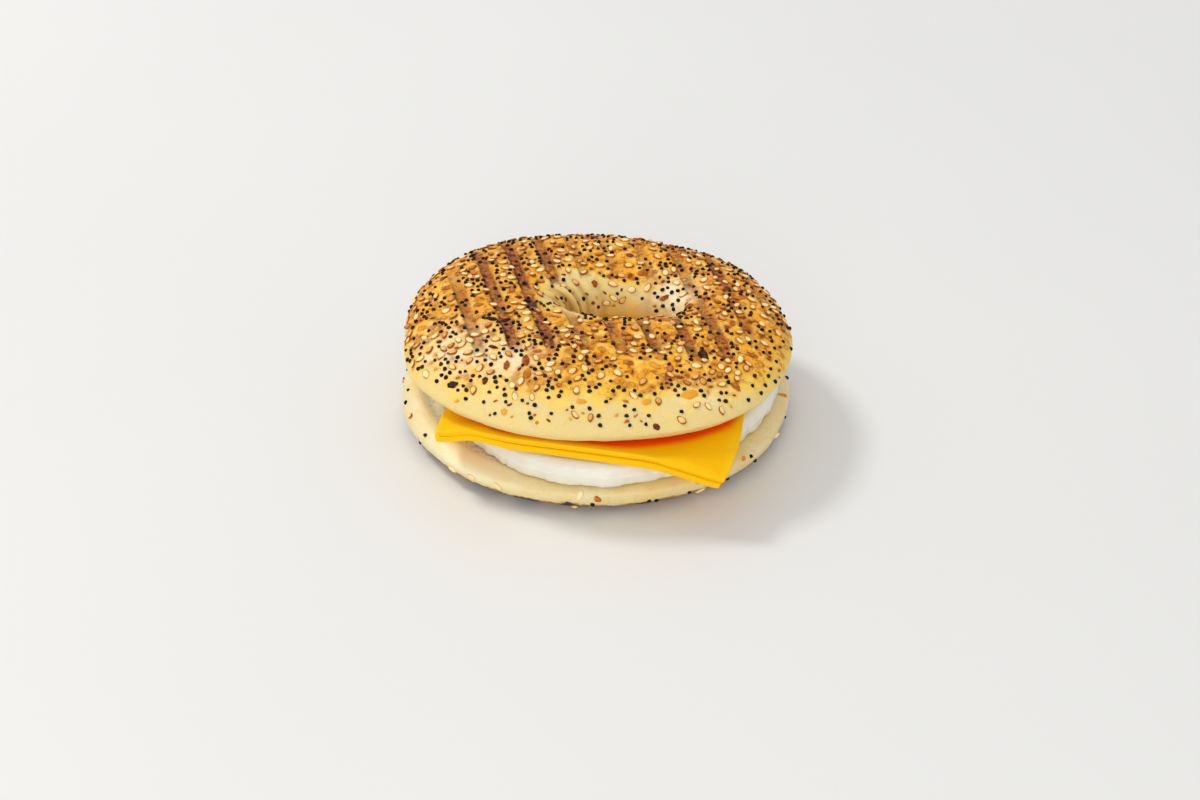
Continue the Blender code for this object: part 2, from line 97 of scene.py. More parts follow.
# Bottom half
BOTTOM_RADIUS = 55.4 * MM
BOTTOM_WAVES = ((-0.5, 0.0), (0.3, 0.0))
BOTTOM_WIDEST = 7.0 * MM
BOTTOM_CUT = 8.8 * MM
BASE_RADIUS = 46.5 * MM
RIM_WIDTH = 4.6 * MM
SIDE_RISE = 3.2 * MM
SIDE_RISE_AT = 182.0
SIDE_RISE_WIDTH = 34.0
HOLE_GROWTH = (1.0 * MM, 1.2 * MM, 2.2 * MM)

# Egg white: each ring is millimetres in from the outline, and height as a share of the whole
EGG_RADIUS = 49.8 * MM
EGG_WAVES = ((1.7, -1.8), (-0.9, -0.9), (0.5, 1.3), (0.7, -0.3))
EGG_FOOT = 9.1 * MM
EGG_TOP = 16.2 * MM
EGG_RIPPLE = 0.5 * MM
EGG_RINGS = ((14.0, 0.0), (1.4, 0.0), (0.3, 0.12), (0.0, 0.45), (0.2, 0.72), (1.1, 0.90),
             (3.2, 0.99), (9.0, 1.0), (26.0, 0.99))
# Forms of its side, which fade over so many millimetres in from it, and dimples of its top
EGG_SIDE = 3.0
EGG_UNEVEN = 0.9
EGG_RAGGED = 0.7
EGG_RIDGE = 0.55 * MM
EGG_RIDGE_WIDTH = 0.13
EGG_DIMPLES = 0.12 * MM
EGG_DIMPLE_PITCH = 6.0 * MM

# Cheese slices
SLICE_SIDE = 80.2 * MM
SLICE_THICKNESS = 1.65 * MM
SLICE_MIDDLE = (3.7 * MM, -12.2 * MM)
SLICE_TURN = -14.1
SLICE_GAP = 0.3 * MM
BEND_PAST_EDGE = 2.0 * MM
BEND_RADIUS = 12.0 * MM
BEND_ANGLE = 20.0
BEND_WAVES = ((14.0, 20.0, 1), (2.3, 246.0, 2))
RIPPLE_AT = (-34.5 * MM, -44.5 * MM)
RIPPLE_RADIUS = 6.5 * MM
RIPPLE_HEIGHT = 1.6 * MM
UPPER_SHIFT = (0.5 * MM, 0.4 * MM)
UPPER_TURN = 0.6
SLICE_BEVEL = 0.25 * MM
SLICE_WAVE = 0.10 * MM
SLICE_WAVE_PITCH = 11.0 * MM
# Where a slice's look changes, from none to full: in from its edges, out to the left where painted
# light yellows it, and the band of painted shade under the top half's rim, by the distance in from
# that rim, from the edges and to the right
SLICE_EDGE = (2.4 * MM, 0.4 * MM)
SLICE_LEFT_LIGHT = (16.0 * MM, 36.0 * MM)
SHADE_OUT = (-7.0 * MM, -3.6 * MM)
SHADE_IN = (8.0 * MM, 2.0 * MM)
SHADE_EDGE = (0.8 * MM, 3.2 * MM)
SHADE_RIGHT = (-44.0 * MM, -22.0 * MM)

# Grill marks
BAR_TURN = 13.0
BAR_PITCH = 9.5 * MM
BAR_MIDDLE = 1.2 * MM
BAR_WIDTH = 3.8 * MM
BAR_DEPTH = 0.65 * MM
BAR_REACH = 3.2 * MM
BAR_FRONT = -28.0 * MM
BAR_FADE = 6.0 * MM
BAR_HOLE_CLEAR = 6.0 * MM
BAR_WALL = (0.1 * MM, -0.45 * MM)
BAR_LIP = 0.16
BAR_LIP_OUT = 0.6 * MM
BAR_LIP_WIDTH = 0.5 * MM
BAR_TONE_RUN = 16.0 * MM

# Fine unevenness of the skin, in two sizes, and of the cut faces
SKIN_PITCH = 3.1 * MM
SKIN_FINE_PITCH = 1.3 * MM
CRUMB_RELIEF = 0.25 * MM
CRUMB_PITCH = 2.5 * MM

# Toast of the top half: turns below and above its edge where it fades, its share in the hole,
# where it reaches lower (angle, width, turns), and the smooth skin round the hole, wider on the left
TOAST_BELOW = 36.0
TOAST_ABOVE = 18.0
HOLE_TOAST = 0.14
TOASTED_LOWER = ((208.0, 24.0, 11.0), (326.0, 24.0, 9.0))
HOLE_SKIN = 6.0 * MM
HOLE_SKIN_LEFT = 7.0 * MM
HOLE_SKIN_RUN = 14.0 * MM

# Pale patches of the crust, partly flour and partly painted highlight where the light catches it:
# middle, half width and half depth in millimetres, and strength
FLOUR_AND_HIGHLIGHT_PATCHES = ((-40.0, -21.0, 11.0, 9.0, 0.85), (-24.0, -29.0, 10.0, 8.0, 0.75),
           (30.0, -44.0, 10.0, 7.0, 0.5), (21.0, 13.0, 7.0, 7.0, 1.2))
FLOUR_AND_HIGHLIGHT_PALES = 0.6
# How pale the lip at the cut edge is: paler crumb edge and painted highlight
LIP_PALE_AND_HIGHLIGHT = 1.2
# On the bottom half: its painted light over the shade beside the cheese's corner (angle, width,
# strength) with heights from none to full, and the toast of its foot
SIDE_SHADE_LIFT = ((229.0, 15.0, 0.8),)
SIDE_SHADE_LIFT_HEIGHTS = (4.0 * MM, 7.0 * MM)
FOOT_TOAST = 0.30
FOOT_HEIGHT = 5.0 * MM

# The fused seeds and flakes, repeated so that the fine ones lie where they do: how many of each kind
# and the room that each takes, then named flakes with their angle, turn, spin, and half length and
# width in millimetres
SEED_START = 11
TOP_SEEDS = (("flake", 17, 6.2 * MM), ("sesame", 96, 3.9 * MM))
BOTTOM_SEEDS = (("sesame", 8, 5.0 * MM),)
SEED_TRIES = 40000
SEED_CLEAR = 1.1 * MM
FLAKE_CORNERS = 16
FLAKE_ROOM = 3.0 * MM
TOP_FLAKES = ((221.4, 18.2, 20.0, 1.8, 1.3), (206.6, 79.5, 5.0, 2.2, 1.0),
              (210.2, 86.0, -8.0, 2.2, 1.0), (238.5, 55.5, 100.0, 2.2, 1.1),
              (242.1, 45.0, 80.0, 2.0, 1.1), (70.5, 119.0, 20.0, 1.6, 1.3),
              (315.0, 23.9, 70.0, 1.7, 1.3), (44.1, 149.3, 30.0, 1.5, 0.8),
              (298.8, 28.4, -10.0, 2.4, 1.5), (263.7, 26.2, -20.0, 1.6, 0.9),
              (284.4, 26.2, 5.0, 1.6, 0.9), (2.7, 137.9, 40.0, 1.6, 1.1),
              (311.0, 60.0, 60.0, 2.0, 1.4))
BOTTOM_FLAKES = ((300.0, 4.0, 10.0, 1.3, 0.8), (316.8, 21.6, 20.0, 0.9, 0.7),
                 (353.7, 53.1, 80.0, 1.2, 0.7), (178.0, 22.0, 60.0, 1.2, 0.6))
SEEDED_FRONT = 41.0
SEEDED_SIDE = 16.0
SEEDED_BLUR = 14.0
FULL_AREA = 1.2 * MM * MM
SIDE_SEEDS = 0.06
HOLE_SEEDS = 0.12
# How brown the named flakes are, from 0 for pale to 1 for burnt
TOP_FLAKE_TONES = (0.95, 1.0, 1.0, 0.62, 0.45, 0.55, 0.5, 0.6, 0.12, 0.15, 0.1, 0.6, 0.85)
BOTTOM_FLAKE_TONES = (0.3, 0.3, 0.4, 0.3)

# The loose seeds: share in the hole, where they end higher up (angle, width, turns), half sizes in
# millimetres from least to most, how far they lean, and how deep they sink
LOOSE_HOLE_SEEDS = 0.15
LOOSE_HIGHER = ((335.0, 24.0, 15.0), (212.0, 20.0, 5.0))
LOOSE_SIZES = {"flake": ((0.8, 1.6), (0.5, 1.0), (0.25, 0.4)),
               "bit": ((0.35, 0.85), (0.28, 0.55), (0.25, 0.42)),
               "sesame": ((1.25, 1.6), (0.75, 0.95), (0.42, 0.55))}
BIT_ROOM = 2.0 * MM
LEAN = {"flake": 0.12, "sesame": 0.22, "poppy": 0.3}
SINK = {"flake": 0.05, "sesame": -0.08, "poppy": -0.05}
# How far from a seed the crust browns and takes painted shade, none at the first distance and full at
# the second
BROWN_AND_SHADE_REACH = (1.35 * MM, 0.7 * MM)
TOP_TURNS = (5.0, 176.0)
BOTTOM_TURNS = (-60.0, 60.0)
BOTTOM_MORE = (("flake", 5, 3.0 * MM), ("sesame", 4, 2.6 * MM), ("poppy", 40, 1.4 * MM))

# How dark each grill mark is behind and in front of the hole, from the left
BAR_TONES = ((0.35, 0.7), (0.9, 1.0), (1.0, 1.0), (0.85, 0.6), (0.35, 0.65), (0.25, 0.85),
             (0.3, 0.85), (0.5, 0.75), (1.0, 0.6))

# Colours between or over those that the panel sets
YELLOWED = (1.0, 0.68, 0.14)
REDDENED = (0.42, 0.10, 0.008)
PAINTED_FOLD_SHADE = (0.55, 0.30, 0.05)
DARK_GRILL = (0.17, 0.030, 0.007)
PALEST = (0.86, 0.72, 0.42)
TANNED = (0.74, 0.47, 0.15)
PAINTED_LIGHT_SIDE = (0.98, 0.92, 0.60)
FOOT_TOAST_AND_SHADE = (0.32, 0.140, 0.030)
PAINTED_PORE_SHADE = (0.76, 0.60, 0.34)
SHADED_CHEESE = (1.0, 0.11, 0.001)
GOLDEN_SESAME = (0.97, 0.64, 0.20)
BURNT_SESAME = (0.30, 0.075, 0.008)
BROWN_POPPY = (0.045, 0.022, 0.014)

# Lights: name, place, width, share of the main light's power, and colour
LIGHTS = (("key_light", (-0.95, 0.55, 1.25), 0.40, 1.0, (1.0, 0.98, 0.95)),
          ("front_fill", (-0.1, -1.1, 0.36), 0.7, 0.40, (1.0, 0.99, 0.97)))
LIGHTS_AIM = Vector((0.0, 0.0, 0.02))
CAMERA_AIM = Vector((1.1, 7.7, 0.0)) * MM


def wave(mean, terms, angle, unit=MM):
    """A mean value with a cosine and a sine of each whole number of turns added."""
    total = mean
    for turns, (along, across) in enumerate(terms, 1):
        total += unit * (along * cos(turns * angle) + across * sin(turns * angle))
    return total


def power(value, exponent):
    """A power that keeps the sign."""
    return copysign(abs(value) ** exponent, value)


def part_of(value, low, high):
    """How far a value has come from low to high, from 0 to 1."""
    return max(0.0, min(1.0, (value - low) / (high - low)))


def smooth(value, low, high):
    """As part_of, but easing in and out."""
    part = part_of(value, low, high)
    return part * part * (3.0 - 2.0 * part)


def bump(angle, middle, width):
    """A smooth hump of height 1 round the ring, with its middle and width in degrees."""
    away = (degrees(angle) - middle + 180.0) % 360.0 - 180.0
    return exp(-(away / width) ** 2)


def humps(angle, terms):
    """The sum of bumps, each with its middle, width and size."""
    return sum(size * bump(angle, middle, width) for middle, width, size in terms)


def swell(point, place):
    """Low swells of the dough, different at each whole number place."""
    broad = noise.noise(point / BROAD_PITCH + Vector((7.0 * place, 3.0, 1.0)))
    fine = noise.noise(point / FINE_PITCH + Vector((3.0 * place, 9.0, 5.0)))
    return BROAD_SWELL * broad + FINE_SWELL * fine


def direction(angle):
    return Vector((cos(angle), sin(angle), 0.0))


def hole_edge(angle, growth=0.0, height=0.0):
    """A point of the hole's oval, made larger all round by the growth."""
    return Vector((HOLE_MIDDLE[0] + (HOLE_HALF_LENGTH + growth) * cos(angle),
                   HOLE_MIDDLE[1] + (HOLE_HALF_WIDTH + growth) * sin(angle), height))


def in_hole(point, room):
    """How far out from the hole's middle a point lies, 1 on an oval that much larger."""
    return hypot((point.x - HOLE_MIDDLE[0]) / (HOLE_HALF_LENGTH + room),
                      (point.y - HOLE_MIDDLE[1]) / (HOLE_HALF_WIDTH + room))


def top_crust(angle, turn):
    """The top half's crust. The turn is 0 at the widest line, 90 at the crown, 180 in the hole."""
    outer = direction(angle) * wave(TOP_RADIUS, TOP_WAVES, angle)
    inner = hole_edge(angle)
    inward = (inner - outer).normalized()
    widest = wave(TOP_WIDEST, TOP_WIDEST_WAVES, angle)
    crown = wave(TOP_CROWN, TOP_CROWN_WAVES, angle)
    lift = radians(turn)
    out = inward * -cos(lift)
    if turn < 0.0:
        under = 0.5 * pi * part_of(-turn, 0.0, TOP_UNDER)
        point = outer + inward * TOP_TUCK * (0.5 - 0.5 * cos(under) + under / pi)
        point.z = widest - (widest - TOP_CUT) * sin(under)
    elif turn > 180.0:
        under = part_of(turn, 180.0, 180.0 + TOP_UNDER)
        point = inner - inward * HOLE_FLARE * under * under
        point.z = widest - (widest - TOP_CUT) * under
    else:
        fullness = wave(TOP_FULLNESS, TOP_FULLNESS_WAVES, angle, 1.0)
        across = 0.5 - 0.5 * power(cos(lift), fullness)
        front = 0.5 - 0.5 * sin(angle)
        point = outer.lerp(inner, across ** (1.0 - CROWN_SHIFT * front))
        point.z = widest + (crown - widest) * sin(lift) ** fullness
        out.z = sin(lift)
    from_cut = min(part_of(turn, -TOP_UNDER, 20.0 - TOP_UNDER),
                   part_of(-turn, -180.0 - TOP_UNDER, -160.0 - TOP_UNDER))
    point += out * swell(point, 1) * from_cut
    if turn > FOLDS_FROM:
        point += inward * MM * humps(angle, FOLDS) * part_of(turn, FOLDS_FROM, FOLDS_FULL)
    return point


def bottom_crust(angle, turn):
    """The bottom half's crust. The turn is -90 at the base, 0 at the widest line, 90 at the rim."""
    out = direction(angle)
    rise = sin(radians(turn))
    along = cos(radians(turn))
    radius = wave(BOTTOM_RADIUS, BOTTOM_WAVES, angle)
    if turn < 0.0:
        point = out * (BASE_RADIUS + (radius - BASE_RADIUS) * along)
        point.z = BOTTOM_WIDEST * (1.0 + rise)
    else:
        point = out * (radius - RIM_WIDTH * (1.0 - along))
        point.z = BOTTOM_WIDEST + (rim_height(angle) - BOTTOM_WIDEST) * rise
    return point + out * swell(point, 2) * along


def rim_height(angle):
    return BOTTOM_CUT + SIDE_RISE * bump(angle, SIDE_RISE_AT, SIDE_RISE_WIDTH)


def egg_radius(angle):
    return wave(EGG_RADIUS, EGG_WAVES, angle)


def across_bars(point):
    """How far a point lies to the right, square to the grill marks."""
    turn = radians(BAR_TURN)
    return point.x * cos(turn) + point.y * sin(turn)


def bar_offset(point):
    """How far a point lies to the right of the middle line of the nearest grill mark."""
    return (across_bars(point) - BAR_MIDDLE + 0.5 * BAR_PITCH) % BAR_PITCH - 0.5 * BAR_PITCH


def bar_depth(point):
    """How deep a grill mark is pressed at a point of the crust: full near the crown."""
    pressed = wave(TOP_CROWN, TOP_CROWN_WAVES, atan2(point.y, point.x))
    reach = part_of(point.z, pressed - BAR_REACH, pressed - 0.5 * BAR_REACH)
    reach = min(reach, part_of(point.y, BAR_FRONT, BAR_FRONT + BAR_FADE))
    if point.y > HOLE_MIDDLE[1]:
        reach = min(reach, part_of(in_hole(point, BAR_HOLE_CLEAR), 0.9, 1.1))
    return BAR_DEPTH * smooth(reach, 0.0, 1.0)


def seeded_turn(angle):
    """The turn at which the dense seeds end, higher up the crust at the front."""
    back = min(1.0, 1.0 + sin(angle))
    return SEEDED_FRONT - (SEEDED_FRONT - SEEDED_SIDE) * back * back


def toasted_turn(angle):
    """The turn at which the toasted colour ends, lower down at both sides than the fused seeds."""
    end = SEEDED_FRONT - (SEEDED_FRONT - SEEDED_SIDE) * min(1.0, 1.0 + sin(angle))
    return end - humps(angle, TOASTED_LOWER)


def flour_and_highlight(point):
    """How thick the pale patches lie at a point of the top half: flour, and painted highlight."""
    return sum(size * exp(-((point.x / MM - x) / wide) ** 2 - ((point.y / MM - y) / deep) ** 2)
               for x, y, wide, deep, size in FLOUR_AND_HIGHLIGHT_PATCHES)


def left_by_flour_and_highlight(point):
    """What the pale patches, flour and painted highlight, leave of the toast and the seeds at a point
    of the top half.
    """
    return 1.0 - FLOUR_AND_HIGHLIGHT_PALES * min(1.0, flour_and_highlight(point))


def beyond_hole(point):
    """Below 1 on the smooth skin round the hole, which reaches furthest to the left."""
    left = smooth(HOLE_MIDDLE[0] - point.x, 0.0, HOLE_SKIN_RUN)
    return in_hole(point, HOLE_SKIN + HOLE_SKIN_LEFT * left)


def top_share(angle, turn, point):
    """Seeds lie thick on the top between its grill marks, and thin on the sides and in the hole."""
    if bar_depth(point) > 0.0 and abs(bar_offset(point)) < 0.5 * BAR_WIDTH + SEED_CLEAR:
        return 0.0
    if in_hole(point, 3.0 * MM) < 1.0:
        return HOLE_SEEDS
    end = seeded_turn(angle)
    dense = part_of(turn, end - SEEDED_BLUR, end + SEEDED_BLUR) ** 2
    return SIDE_SEEDS + (1.0 - SIDE_SEEDS) * dense


def bottom_share(angle, turn, point):
    """Few seeds lie on the bottom half, and none at its base or beside the egg."""
    return 0.5 if 2.0 * MM <= point.z <= rim_height(angle) - 0.8 * MM else 0.0


def loose_share(angle, turn, point):
    """The other seeds of the top lie in loose drifts, few of them in the grill marks."""
    if beyond_hole(point) < 0.86:
        return LOOSE_HOLE_SEEDS
    drift = part_of(noise.noise(point / FINE_PITCH), -0.6, 0.4) * left_by_flour_and_highlight(point)
    end = toasted_turn(angle) + humps(angle, LOOSE_HIGHER)
    dense = smooth(turn, end - SEEDED_BLUR, end + SEEDED_BLUR) * (0.4 + 0.6 * drift)
    thick = SIDE_SEEDS + (1.0 - SIDE_SEEDS) * dense
    marked = bar_depth(point) * smooth(abs(bar_offset(point)), 0.62 * BAR_WIDTH, 0.45 * BAR_WIDTH)
    return thick * (1.0 - 0.85 * marked / BAR_DEPTH)


def patch(crust, angle, turn):
    """A small area of the crust, as a vector that points out of it."""
    around = crust(angle + 0.01, turn) - crust(angle - 0.01, turn)
    over = crust(angle, turn + 1.0) - crust(angle, turn - 1.0)
    return around.cross(over)


def scatter(crust, turns, flakes, kinds, share, rng, placed):
    """The named flakes, then seeds at random, as dense as the share asks and clear of the others."""
    for angle, turn, spin, long, wide in flakes:
        angle = radians(angle)
        out = patch(crust, angle, turn).normalized()
        spin = radians(spin)
        placed.append(("flake", crust(angle, turn), out, spin, FLAKE_ROOM, (long, wide)))
    for kind, wanted, room in kinds:
        found = 0
        for _ in range(SEED_TRIES):
            if found == wanted:
                break
            angle = rng.uniform(0.0, tau)
            turn = rng.uniform(*turns)
            chance = rng.random()
            spin = rng.uniform(0.0, tau)
            point = crust(angle, turn)
            out = patch(crust, angle, turn)
            if chance * FULL_AREA > share(angle, turn, point) * out.length:
                continue
            if any((point - other[1]).length < 0.5 * (room + other[4]) for other in placed):
                continue
            placed.append((kind, point, out.normalized(), spin, room, None))
            found += 1


# Sizes and colours

def colour(name, description, default):
    return bpy.props.FloatVectorProperty(name=name, description=description, default=default,
                                         size=3, min=0.0, max=1.0, subtype="COLOR")


def amount(name, description, default, low, high, **kind):
    return bpy.props.FloatProperty(name=name, description=description, default=default,
                                   min=low, max=high, **kind)


def length(*values):
    return amount(*values, precision=5, unit="LENGTH")


def number_of(name, description, default, high):
    return bpy.props.IntProperty(name=name, description=description, default=default, min=0, max=high)


class BagelDough(bpy.types.PropertyGroup):
    pale: colour("Pale side", "Crust low on the sides and in the hole", (0.84, 0.655, 0.27))
    gold: colour("Gold", "Crust where the sides turn to the top", (0.96, 0.60, 0.08))
    toasted: colour("Toasted", "Crust on the top", (0.99, 0.42, 0.018))
    dark: colour("Darkest crust", "Spots that browned most", (0.30, 0.052, 0.005))
    # Colour of the pale patches: flour, and painted highlight
    flour_and_painted_light: colour("Floured", "Dusty patches of the crust", (1.0, 0.88, 0.66))
    grill: colour("Grill mark", "Floor of the grill marks", (0.50, 0.145, 0.038))
    # Also painted shade at the grill marks' left edges and in a thin band at the bottom half's base
    char: colour("Char", "Burnt spots in the grill marks", (0.030, 0.010, 0.007))
    crumb: colour("Crumb", "Cut faces of both halves", (0.88, 0.78, 0.56))
    relief: length("Skin relief", "Height of the fine unevenness of the crust", 0.11 * MM, 0.0, MM)
    groove: length("Grill mark depth", "Depth of the grill marks", BAR_DEPTH, 0.0, 1.5 * MM)


class BagelFilling(bpy.types.PropertyGroup):
    egg: colour("Egg white", "Cooked egg white", (0.85, 0.83, 0.73))
    egg_tint: colour("Egg tint", "Thin and browned places of the egg", (0.78, 0.68, 0.44))
    cheese: colour("Cheese", "Faces of the slices", (1.0, 0.50, 0.001))
    # Also the painted light on the left part of the slices
    cheese_edge_and_light: colour("Cheese edge", "Cut edges of the slices", (1.0, 0.56, 0.006))
    thickness: length("Slice thickness", "Thickness of each slice", SLICE_THICKNESS, MM, 3.0 * MM)


class BagelToppings(bpy.types.PropertyGroup):
    sesame: number_of("More sesame", "Sesame seeds beside the fused ones", 250, 1000)
    poppy: number_of("Poppy seeds", "Poppy seeds on the top half", 690, 2000)
    flakes: number_of("More flakes", "Small flakes beside the fused ones", 46, 300)
    bits: number_of("Bits", "Small browned bits of onion on the top half", 380, 1500)
    sesame_colour: colour("Sesame", "Middle of a sesame seed", (1.0, 0.82, 0.46))
    sesame_edge: colour("Sesame edge", "Toasted edge of a sesame seed", (0.62, 0.20, 0.02))
    poppy_colour: colour("Poppy", "Poppy seeds", (0.008, 0.004, 0.003))
    flake_pale: colour("Pale flake", "Least toasted onion", (0.86, 0.38, 0.03))
    flake_brown: colour("Brown flake", "Toasted onion", (0.36, 0.07, 0.010))
    flake_burnt: colour("Burnt flake", "Burnt onion", (0.014, 0.005, 0.004))


class BagelStage(bpy.types.PropertyGroup):
    floor: colour("Floor", "Colour of the floor", (0.84, 0.84, 0.83))
    lens: amount("Lens", "Focal length in millimetres on a 36 mm wide sensor", 66.3, 20.0, 200.0)
    distance: length("Camera distance", "From the camera to the bagel's middle", 0.647, 0.2, 2.0)
    height: amount("Camera height", "Angle above the floor", radians(31.9), 0.0, 1.57,
                   subtype="ANGLE")
    key: amount("Key light", "Power of the main light", 10.5, 0.0, 100.0, unit="POWER")
    fill: amount("Fill light", "Brightness of the room", 0.66, 0.0, 5.0)


# Shader building

class Value:
    """A result in a shader tree; sums and products of it are math nodes."""

    def __init__(self, socket):
        self.socket = socket
        self.tree = socket.id_data

    def __add__(self, other):
        return calc("ADD", self, other)

    def __sub__(self, number):
        return calc("ADD", self, -number)

    def __mul__(self, other):
        return calc("MULTIPLY", self, other)

    def between(self, low, high, start=0.0, end=1.0):
        """Eases from start to end as the value goes from low to high."""
        return add(self.tree, "MapRange", "Result",
                   {"From Min": low, "From Max": high, "To Min": start, "To Max": end, "Value": self},
                   interpolation_type="SMOOTHSTEP")

    def blend(self, first, second):
        """Mixes two colours, the value being the share of the second."""
        return add(self.tree, "Mix", 2, {0: self, 6: first, 7: second}, data_type="RGBA")


def feed(socket, term):
    """Links a value to an input, or sets the input to a number or a colour."""
    if isinstance(term, Value):
        term.tree.links.new(term.socket, socket)
    else:
        socket.default_value = term if isinstance(term, (int, float)) else (*term, 1.0)


def add(tree, kind, output, inputs=None, **settings):
    """Adds a shader node with its settings and inputs, and returns one of its outputs."""
    made = tree.nodes.new("ShaderNode" + kind)
    for name, value in settings.items():
        setattr(made, name, value)
    for name, term in (inputs or {}).items():
        feed(made.inputs[name], term)
    return Value(made.outputs[output])


def calc(operation, *terms):
    """A math node, each term a number or a value."""
    tree = next(term.tree for term in terms if isinstance(term, Value))
    return add(tree, "Math", 0, dict(enumerate(terms)), operation=operation)


def ramp(source, stops):
    """A colour ramp of (place, colour) stops."""
    made = source.tree.nodes.new("ShaderNodeValToRGB")
    feed(made.inputs["Fac"], source)
    bar = made.color_ramp
    while len(bar.elements) < len(stops):
        bar.elements.new(0.5)
    for element, (place, value) in zip(bar.elements, stops):
        element.position = place
        element.color = (*value, 1.0)
    return Value(made.outputs["Color"])


def dough_skin():
    """Mottling, freckles and fine relief of a baked skin, as a node group. Sizes are in metres."""
    name = "Dough skin"
    if name in bpy.data.node_groups:
        return bpy.data.node_groups[name]
    group = bpy.data.node_groups.new(name, "ShaderNodeTree")
    noises = (("Mottle Size", 7.0, 4.0, 0.6, 0.4), ("Freckle Size", 1.4, 2.0, 0.5, 0.0),
              ("Grain Size", 0.5, 3.0, 0.6, 0.0))
    for label, size, *detail in noises:
        socket = group.interface.new_socket(label, in_out="INPUT", socket_type="NodeSocketFloat")
        socket.default_value = size * MM
    for label in ("Mottle", "Freckles", "Relief"):
        group.interface.new_socket(label, in_out="OUTPUT", socket_type="NodeSocketFloat")
    given = group.nodes.new("NodeGroupInput").outputs
    result = group.nodes.new("NodeGroupOutput").inputs
    place = add(group, "TexCoord", "Object")
    mottle, spots, fine = [
        add(group, "TexNoise", "Fac", {
            "Scale": calc("DIVIDE", 1.0, Value(given[label])), "Detail": detail, "Roughness": rough,
            "Distortion": distortion, "Vector": place})
        for label, size, detail, rough, distortion in noises]
    feed(result["Mottle"], mottle.between(0.30, 0.70))
    feed(result["Freckles"], spots.between(0.56, 0.72))
    feed(result["Relief"], fine * 0.35 + spots * 0.65)
    return group


class Look:
    """A new material of one Principled shader, and the values that its look is made of."""

    def __init__(self, name):
        self.material = bpy.data.materials.new(name)
        self.material.use_nodes = True
        self.tree = self.material.node_tree
        self.place = add(self.tree, "TexCoord", "Object")

    def axis(self, name):
        """The distance along one axis of the object."""
        return add(self.tree, "SeparateXYZ", name, {"Vector": self.place})

    def field(self, name):
        """A value that the mesh carries at its points."""
        return add(self.tree, "Attribute", "Fac", attribute_name=name)

    def grain(self, size, detail=3.0, roughness=0.55, distortion=0.0):
        """Noise from about 0.3 to 0.7 whose features are the size apart, in millimetres."""
        return add(self.tree, "TexNoise", "Fac", {"Scale": 1.0 / (size * MM), "Detail": detail,
                                                  "Roughness": roughness, "Distortion": distortion,
                                                  "Vector": self.place})

    def cells(self, size, feature, **inputs):
        """The distance in a pattern of cells of the size, in millimetres."""
        return add(self.tree, "TexVoronoi", "Distance",
                   {"Scale": 1.0 / (size * MM), "Vector": self.place, **inputs}, feature=feature)

    def skin(self, mottle, freckle, fine):
        """The three values of the dough's skin, for sizes in millimetres."""
        made = self.tree.nodes.new("ShaderNodeGroup")
        made.node_tree = dough_skin()
        for socket, size in zip(made.inputs, (mottle, freckle, fine)):
            socket.default_value = size * MM
        return [Value(socket) for socket in made.outputs]

    def finish(self, colour, roughness, relief=None, light=None, specular=0.5):
        """Sets the shader and returns the material. Relief is its height, strength and depth, and
        light that enters and comes out near by is its weight, radii and reach, in millimetres."""
        inputs = self.tree.nodes["Principled BSDF"].inputs
        feed(inputs["Base Color"], colour)
        feed(inputs["Roughness"], roughness)
        inputs["Specular IOR Level"].default_value = specular
        if relief:
            height, strength, depth = relief
            feed(inputs["Normal"], add(self.tree, "Bump", "Normal", {
                "Strength": strength, "Distance": depth * MM, "Height": height}))
        if light:
            weight, radii, reach = light
            inputs["Subsurface Weight"].default_value = weight
            inputs["Subsurface Radius"].default_value = radii
            inputs["Subsurface Scale"].default_value = reach * MM
        return self.material


